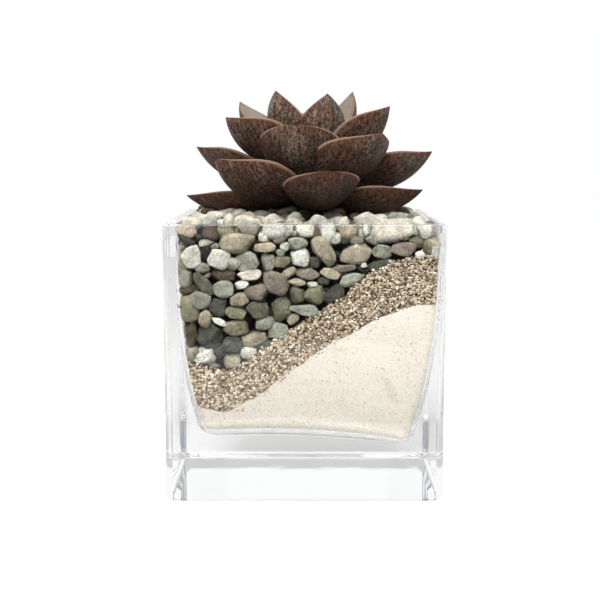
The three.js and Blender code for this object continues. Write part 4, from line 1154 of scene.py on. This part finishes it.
def leaf_mesh(number, row):
    """Vertices, faces, tones and blade coordinates of one leaf at its place on the stem. The tones are
    shares: red the flush, green the inner face, blue the margin and alpha the foot."""
    settings = bpy.context.scene.leaf_settings
    turn, reach, tip, base, width, thick, bow, roll, cup, yaw, bluntness = row
    reach, tip, base, width, thick, cup = [value * MM for value in (reach, tip, base, width, thick, cup)]
    share = 1 - (1 - np.linspace(0, 1, settings.rows)) ** 1.15
    angle = np.linspace(0, 2 * math.pi, settings.ring + 1)[:-1]
    share, angle = np.meshgrid(share, angle, indexing="ij")
    thickness = swell(share, 0.62, 0.45, 2.6, 0.95)
    half = width / 2 * swell(share, 0.5, 0.55, 2, bluntness)
    out = np.abs(np.cos(angle))
    y = half * np.cos(angle)
    keel = 2.2 - 0.9 * share        # the underside is round at the foot and keeled at the tip
    under = 0.78 * thick * thickness * (1 - out ** keel) ** 0.75
    over = 0.22 * thick * thickness * (1 - 0.9 * share) * (1 - out ** 2) ** 0.75
    z = np.where(np.sin(angle) < 0, -under, over) + cup * (y / (width / 2)) ** 2 * np.clip(1.3 * share, 0, 1)

    tip_angle = FIRST_ANGLE + GOLDEN_ANGLE * number + math.radians(turn)
    foot_angle = tip_angle + math.radians(yaw)
    foot_radius = BASE_RADIUS[0] + (BASE_RADIUS[1] - BASE_RADIUS[0]) * min(1, number / 20)
    low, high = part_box("stem")
    stem_x = (low.x + high.x) / 2
    foot = Vector((stem_x + foot_radius * math.cos(foot_angle), foot_radius * math.sin(foot_angle), base))
    end = Vector((stem_x + reach * math.cos(tip_angle), reach * math.sin(tip_angle), tip))
    along = end - foot
    length = along.length
    along.normalize()
    side = Vector((0, 0, 1)).cross(along).normalized()
    side.rotate(Matrix.Rotation(math.radians(roll), 3, along))
    up = along.cross(side)

    bend = math.radians(bow)
    arc = bend * (share - 0.5)
    chord = 2 * math.sin(bend / 2)
    forward = length * (np.sin(arc) + math.sin(bend / 2)) / chord - z * np.sin(arc)
    rise = -length * (np.cos(arc) - math.cos(bend / 2)) / chord + z * np.cos(arc)
    points = (forward[..., None] * np.array(along) + y[..., None] * np.array(side)
              + rise[..., None] * np.array(up) + np.array(foot)).reshape(-1, 3)
    aged = (number / (len(LEAVES) - 1)) ** 2      # the lowest leaves are the oldest and the reddest
    flush = smooth_step(out, 0.75, 0.97) * (0.25 + 0.75 * share) + smooth_step(share, 0.9, 1.0) + 0.6 * aged
    inner = smooth_step(np.sin(angle), 0.05, 0.35)
    margin = smooth_step(out, 0.975, 0.997) * smooth_step(share, 0.1, 0.4)
    heel = 1 - smooth_step(share, 0.15, 0.55)
    tones = np.stack([np.clip(flush, 0, 1), inner, margin, heel], -1).reshape(-1, 4)
    uv = np.stack([share * length, np.where(np.sin(angle) < 0, y, y + width)], -1).reshape(-1, 2)
    faces = [tuple(reversed(face)) for face in ring_faces(settings.rows, settings.ring)]
    return points, faces, tones, uv


class PLANTER_OT_leaves(bpy.types.Operator):
    """Grow the rosette: one thick keeled leaf for each leaf of the frame."""
    bl_idname = "planter.leaves"
    bl_label = "Leaves"

    def execute(self, context):
        material = leaf_material()
        for number, row in enumerate(LEAVES):
            points, faces, tones, uv = leaf_mesh(number, row)
            name = f"leaf_{number + 1:02d}"
            add_piece("succulent_" + name, points, faces, material, "leaf", [name], tones=tones, uv=uv)
        return {"FINISHED"}


# ---- stage ----

class StageSettings(bpy.types.PropertyGroup):
    """Camera, floor and lights."""
    lens: FloatProperty(name="Lens", description="Focal length in mm", default=69.3)
    distance: FloatProperty(
        name="Distance", description="Camera to the object's upright axis", default=0.4515, unit="LENGTH")
    height: FloatProperty(name="Height", description="Height of the camera", default=0.1275, unit="LENGTH")
    pitch: FloatProperty(
        name="Pitch", description="How far the camera looks down", default=math.radians(7.66),
        subtype="ANGLE")
    yaw: FloatProperty(
        name="Yaw", description="How far the camera looks to the left", default=math.radians(0.223),
        subtype="ANGLE")
    key: FloatProperty(
        name="Key light", description="Power of the soft light above the front", default=4.5, unit="POWER")
    behind: FloatProperty(
        name="Behind", description="Strength of the surround behind the object", default=0.97)
    before: FloatProperty(name="Before", description="Strength of the surround in front", default=0.5)
    below: FloatProperty(name="Below", description="Strength of the surround low in front", default=0.03)
    bounces: IntProperty(
        name="Bounces", description="How often light may be turned inside the glass", default=64)
    band: FloatProperty(
        name="Band", description="Strength of the surround above the card behind", default=0.6)
    sides: FloatVectorProperty(name="Sides", description="Colour of the dark sides", subtype="COLOR", size=4,
                               default=linear("#8f8f9c"))


def card_material():
    """Matt white card, lit to a plain white: the camera sees it a little over-exposed, so only the shadow
    right under the object shows. Other rays see a painted shadow on the patch under the object."""
    material, tree, where = new_material("matt_white_card")
    fibre = add_node(tree, "ShaderNodeTexNoise", {"Vector": where, "Scale": 1 / (2 * MM)})
    paper = add_node(tree, "ShaderNodeValToRGB", {"Fac": fibre}, stops=[(0.0, "#f6f6f5"), (1.0, "#fbfbfa")])
    # painted shadow: the patch under the object, which reaches 50 mm to the front and back, is drawn darker
    # as if out of the light
    depth = add_node(tree, "ShaderNodeSeparateXYZ", {"Vector": where}).outputs["Y"]
    place = add_node(tree, "ShaderNodeMapRange", {"Value": depth, 1: -100 * MM, 2: 100 * MM, 3: 0.0, 4: 1.0})
    away = add_node(tree, "ShaderNodeValToRGB", {"Fac": place},
                    stops=[(0.225, 1.0), (0.26, 0.55), (0.5, 0.75), (0.72, 1.0)])
    dim = add_node(tree, "ShaderNodeMix", {0: 1.0, 6: paper, 7: away}, **SHADE)
    card = add_node(tree, "ShaderNodeBsdfDiffuse", {"Color": dim})
    bright = add_node(tree, "ShaderNodeBsdfDiffuse", {"Color": (1.7, 1.7, 1.7, 1)})
    ray = add_node(tree, "ShaderNodeLightPath").outputs["Is Camera Ray"]
    mix = add_node(tree, "ShaderNodeMixShader", {0: ray, 1: card, 2: bright})
    add_node(tree, "ShaderNodeOutputMaterial", {"Surface": mix})
    return material


def surround(stage):
    """White to the camera. The light it gives comes mostly from a bright card behind. The sides are dark,
    so are the low directions that the flat front of the glass mirrors, and above the card a duller band
    shows in the base."""
    world = bpy.data.worlds.new("white_surround")
    world.use_nodes = True
    tree = world.node_tree
    tree.nodes.clear()
    where = add_node(tree, "ShaderNodeTexCoord").outputs["Generated"]
    way = add_node(tree, "ShaderNodeSeparateXYZ", {"Vector": where}).outputs
    aside = add_node(tree, "ShaderNodeMath", {0: way["X"]}, operation="ABSOLUTE")
    light = {name: (getattr(stage, name),) * 3 + (1,) for name in ("behind", "band", "before", "below")}
    light["sides"] = stage.sides
    # each light is made of two others, the second from where a direction has risen past the two values
    for name, first, second, measured, low, high in (
            ("card", "behind", "band", way["Z"], 0.286, 0.292),
            ("card", "card", "behind", way["Z"], 0.4, 0.5),
            ("all", "before", "card", way["Y"], -0.7, 0.3),
            ("all", "all", "sides", aside, 0.82, 0.97),
            ("low", "below", "all", way["Z"], -0.02, 0.1),
            ("all", "low", "all", way["Y"], -0.93, -0.85)):
        share = add_node(tree, "ShaderNodeMapRange", {"Value": measured, 1: low, 2: high, 3: 0.0, 4: 1.0},
                         interpolation_type="SMOOTHSTEP")
        light[name] = add_node(tree, "ShaderNodeMix", {0: share, 6: light[first], 7: light[second]}, **BLEND)
    given = add_node(tree, "ShaderNodeBackground", {"Color": light["all"], "Strength": 1.0})
    seen = add_node(tree, "ShaderNodeBackground", {"Color": linear("#ffffff"), "Strength": 1.0})
    ray = add_node(tree, "ShaderNodeLightPath").outputs["Is Camera Ray"]
    mix = add_node(tree, "ShaderNodeMixShader", {0: ray, 1: given, 2: seen})
    add_node(tree, "ShaderNodeOutputWorld", {"Surface": mix})
    return world


class PLANTER_OT_stage(bpy.types.Operator):
    """Set the pale floor, the soft white surround, the light above and the camera."""
    bl_idname = "planter.stage"
    bl_label = "Stage"

    def execute(self, context):
        scene, stage = context.scene, context.scene.stage_settings
        # the floor lies a hair below the foot, and ends short of the camera
        left, right, front, back, level = -0.8, 0.8, -0.17, 0.9, -0.15 * MM
        mesh = bpy.data.meshes.new("floor")
        corners = [(left, front, level), (right, front, level), (right, back, level), (left, back, level)]
        mesh.from_pydata(corners, [], [(0, 1, 2, 3)])
        mesh.materials.append(card_material())
        floor = bpy.data.objects.new("floor", mesh)
        scene.collection.objects.link(floor)
        scene.world = surround(stage)

        # a soft box above the front, a little to the left, aimed at the middle of the object
        light = bpy.data.lights.new("soft_box", "AREA")
        light.shape = "RECTANGLE"
        light.size, light.size_y = 0.5, 0.4
        light.energy = stage.key
        box = bpy.data.objects.new("soft_box", light)
        box.location = (-0.08, -0.5, 0.65)
        box.rotation_euler = (Vector((0, 0, 0.08)) - box.location).to_track_quat("-Z", "Y").to_euler()
        scene.collection.objects.link(box)

        lens = bpy.data.cameras.new("camera")
        lens.lens = stage.lens
        lens.sensor_width = 36
        camera = bpy.data.objects.new("camera", lens)
        camera.location = (0, -stage.distance, stage.height)
        camera.rotation_euler = (math.pi / 2 - stage.pitch, 0, stage.yaw)
        scene.collection.objects.link(camera)
        scene.camera = camera
        scene.view_settings.view_transform = "Standard"
        scene.cycles.max_bounces = stage.bounces
        scene.cycles.transmission_bounces = stage.bounces
        scene.cycles.glossy_bounces = stage.bounces
        return {"FINISHED"}


# ---- add-on ----

OPERATORS = (PLANTER_OT_glass, PLANTER_OT_sand, PLANTER_OT_gravel, PLANTER_OT_pebbles, PLANTER_OT_roots,
             PLANTER_OT_leaves, PLANTER_OT_stage)
SETTINGS = {
    "glass_settings": GlassSettings, "sand_settings": SandSettings, "gravel_settings": GravelSettings,
    "pebble_settings": PebbleSettings, "leaf_settings": LeafSettings, "stage_settings": StageSettings,
}


class PLANTER_PT_panel(bpy.types.Panel):
    """Lists the operators in the order they are run, and the settings of each group of pieces."""
    bl_idname = "PLANTER_PT_panel"
    bl_label = "Succulent in Glass Planter"
    bl_space_type = "VIEW_3D"
    bl_region_type = "UI"
    bl_category = "Planter"

    def draw(self, context):
        for operator in OPERATORS:
            self.layout.operator(operator.bl_idname)
        for name, group in SETTINGS.items():
            box = self.layout.box()
            box.label(text=group.__doc__)
            for prop in group.__annotations__:
                box.prop(getattr(context.scene, name), prop)


def register():
    for group in SETTINGS.values():
        bpy.utils.register_class(group)
    for name, group in SETTINGS.items():
        setattr(bpy.types.Scene, name, PointerProperty(type=group))
    for cls in (*OPERATORS, PLANTER_PT_panel):
        bpy.utils.register_class(cls)


def unregister():
    for cls in (PLANTER_PT_panel, *reversed(OPERATORS)):
        bpy.utils.unregister_class(cls)
    for name, group in SETTINGS.items():
        delattr(bpy.types.Scene, name)
        bpy.utils.unregister_class(group)


def main():
    """Builds the whole scene in order."""
    register()
    bpy.ops.planter.glass()
    bpy.ops.planter.sand()
    bpy.ops.planter.gravel()
    bpy.ops.planter.pebbles()
    bpy.ops.planter.roots()
    bpy.ops.planter.leaves()
    bpy.ops.planter.stage()


if __name__ == "__main__":
    main()
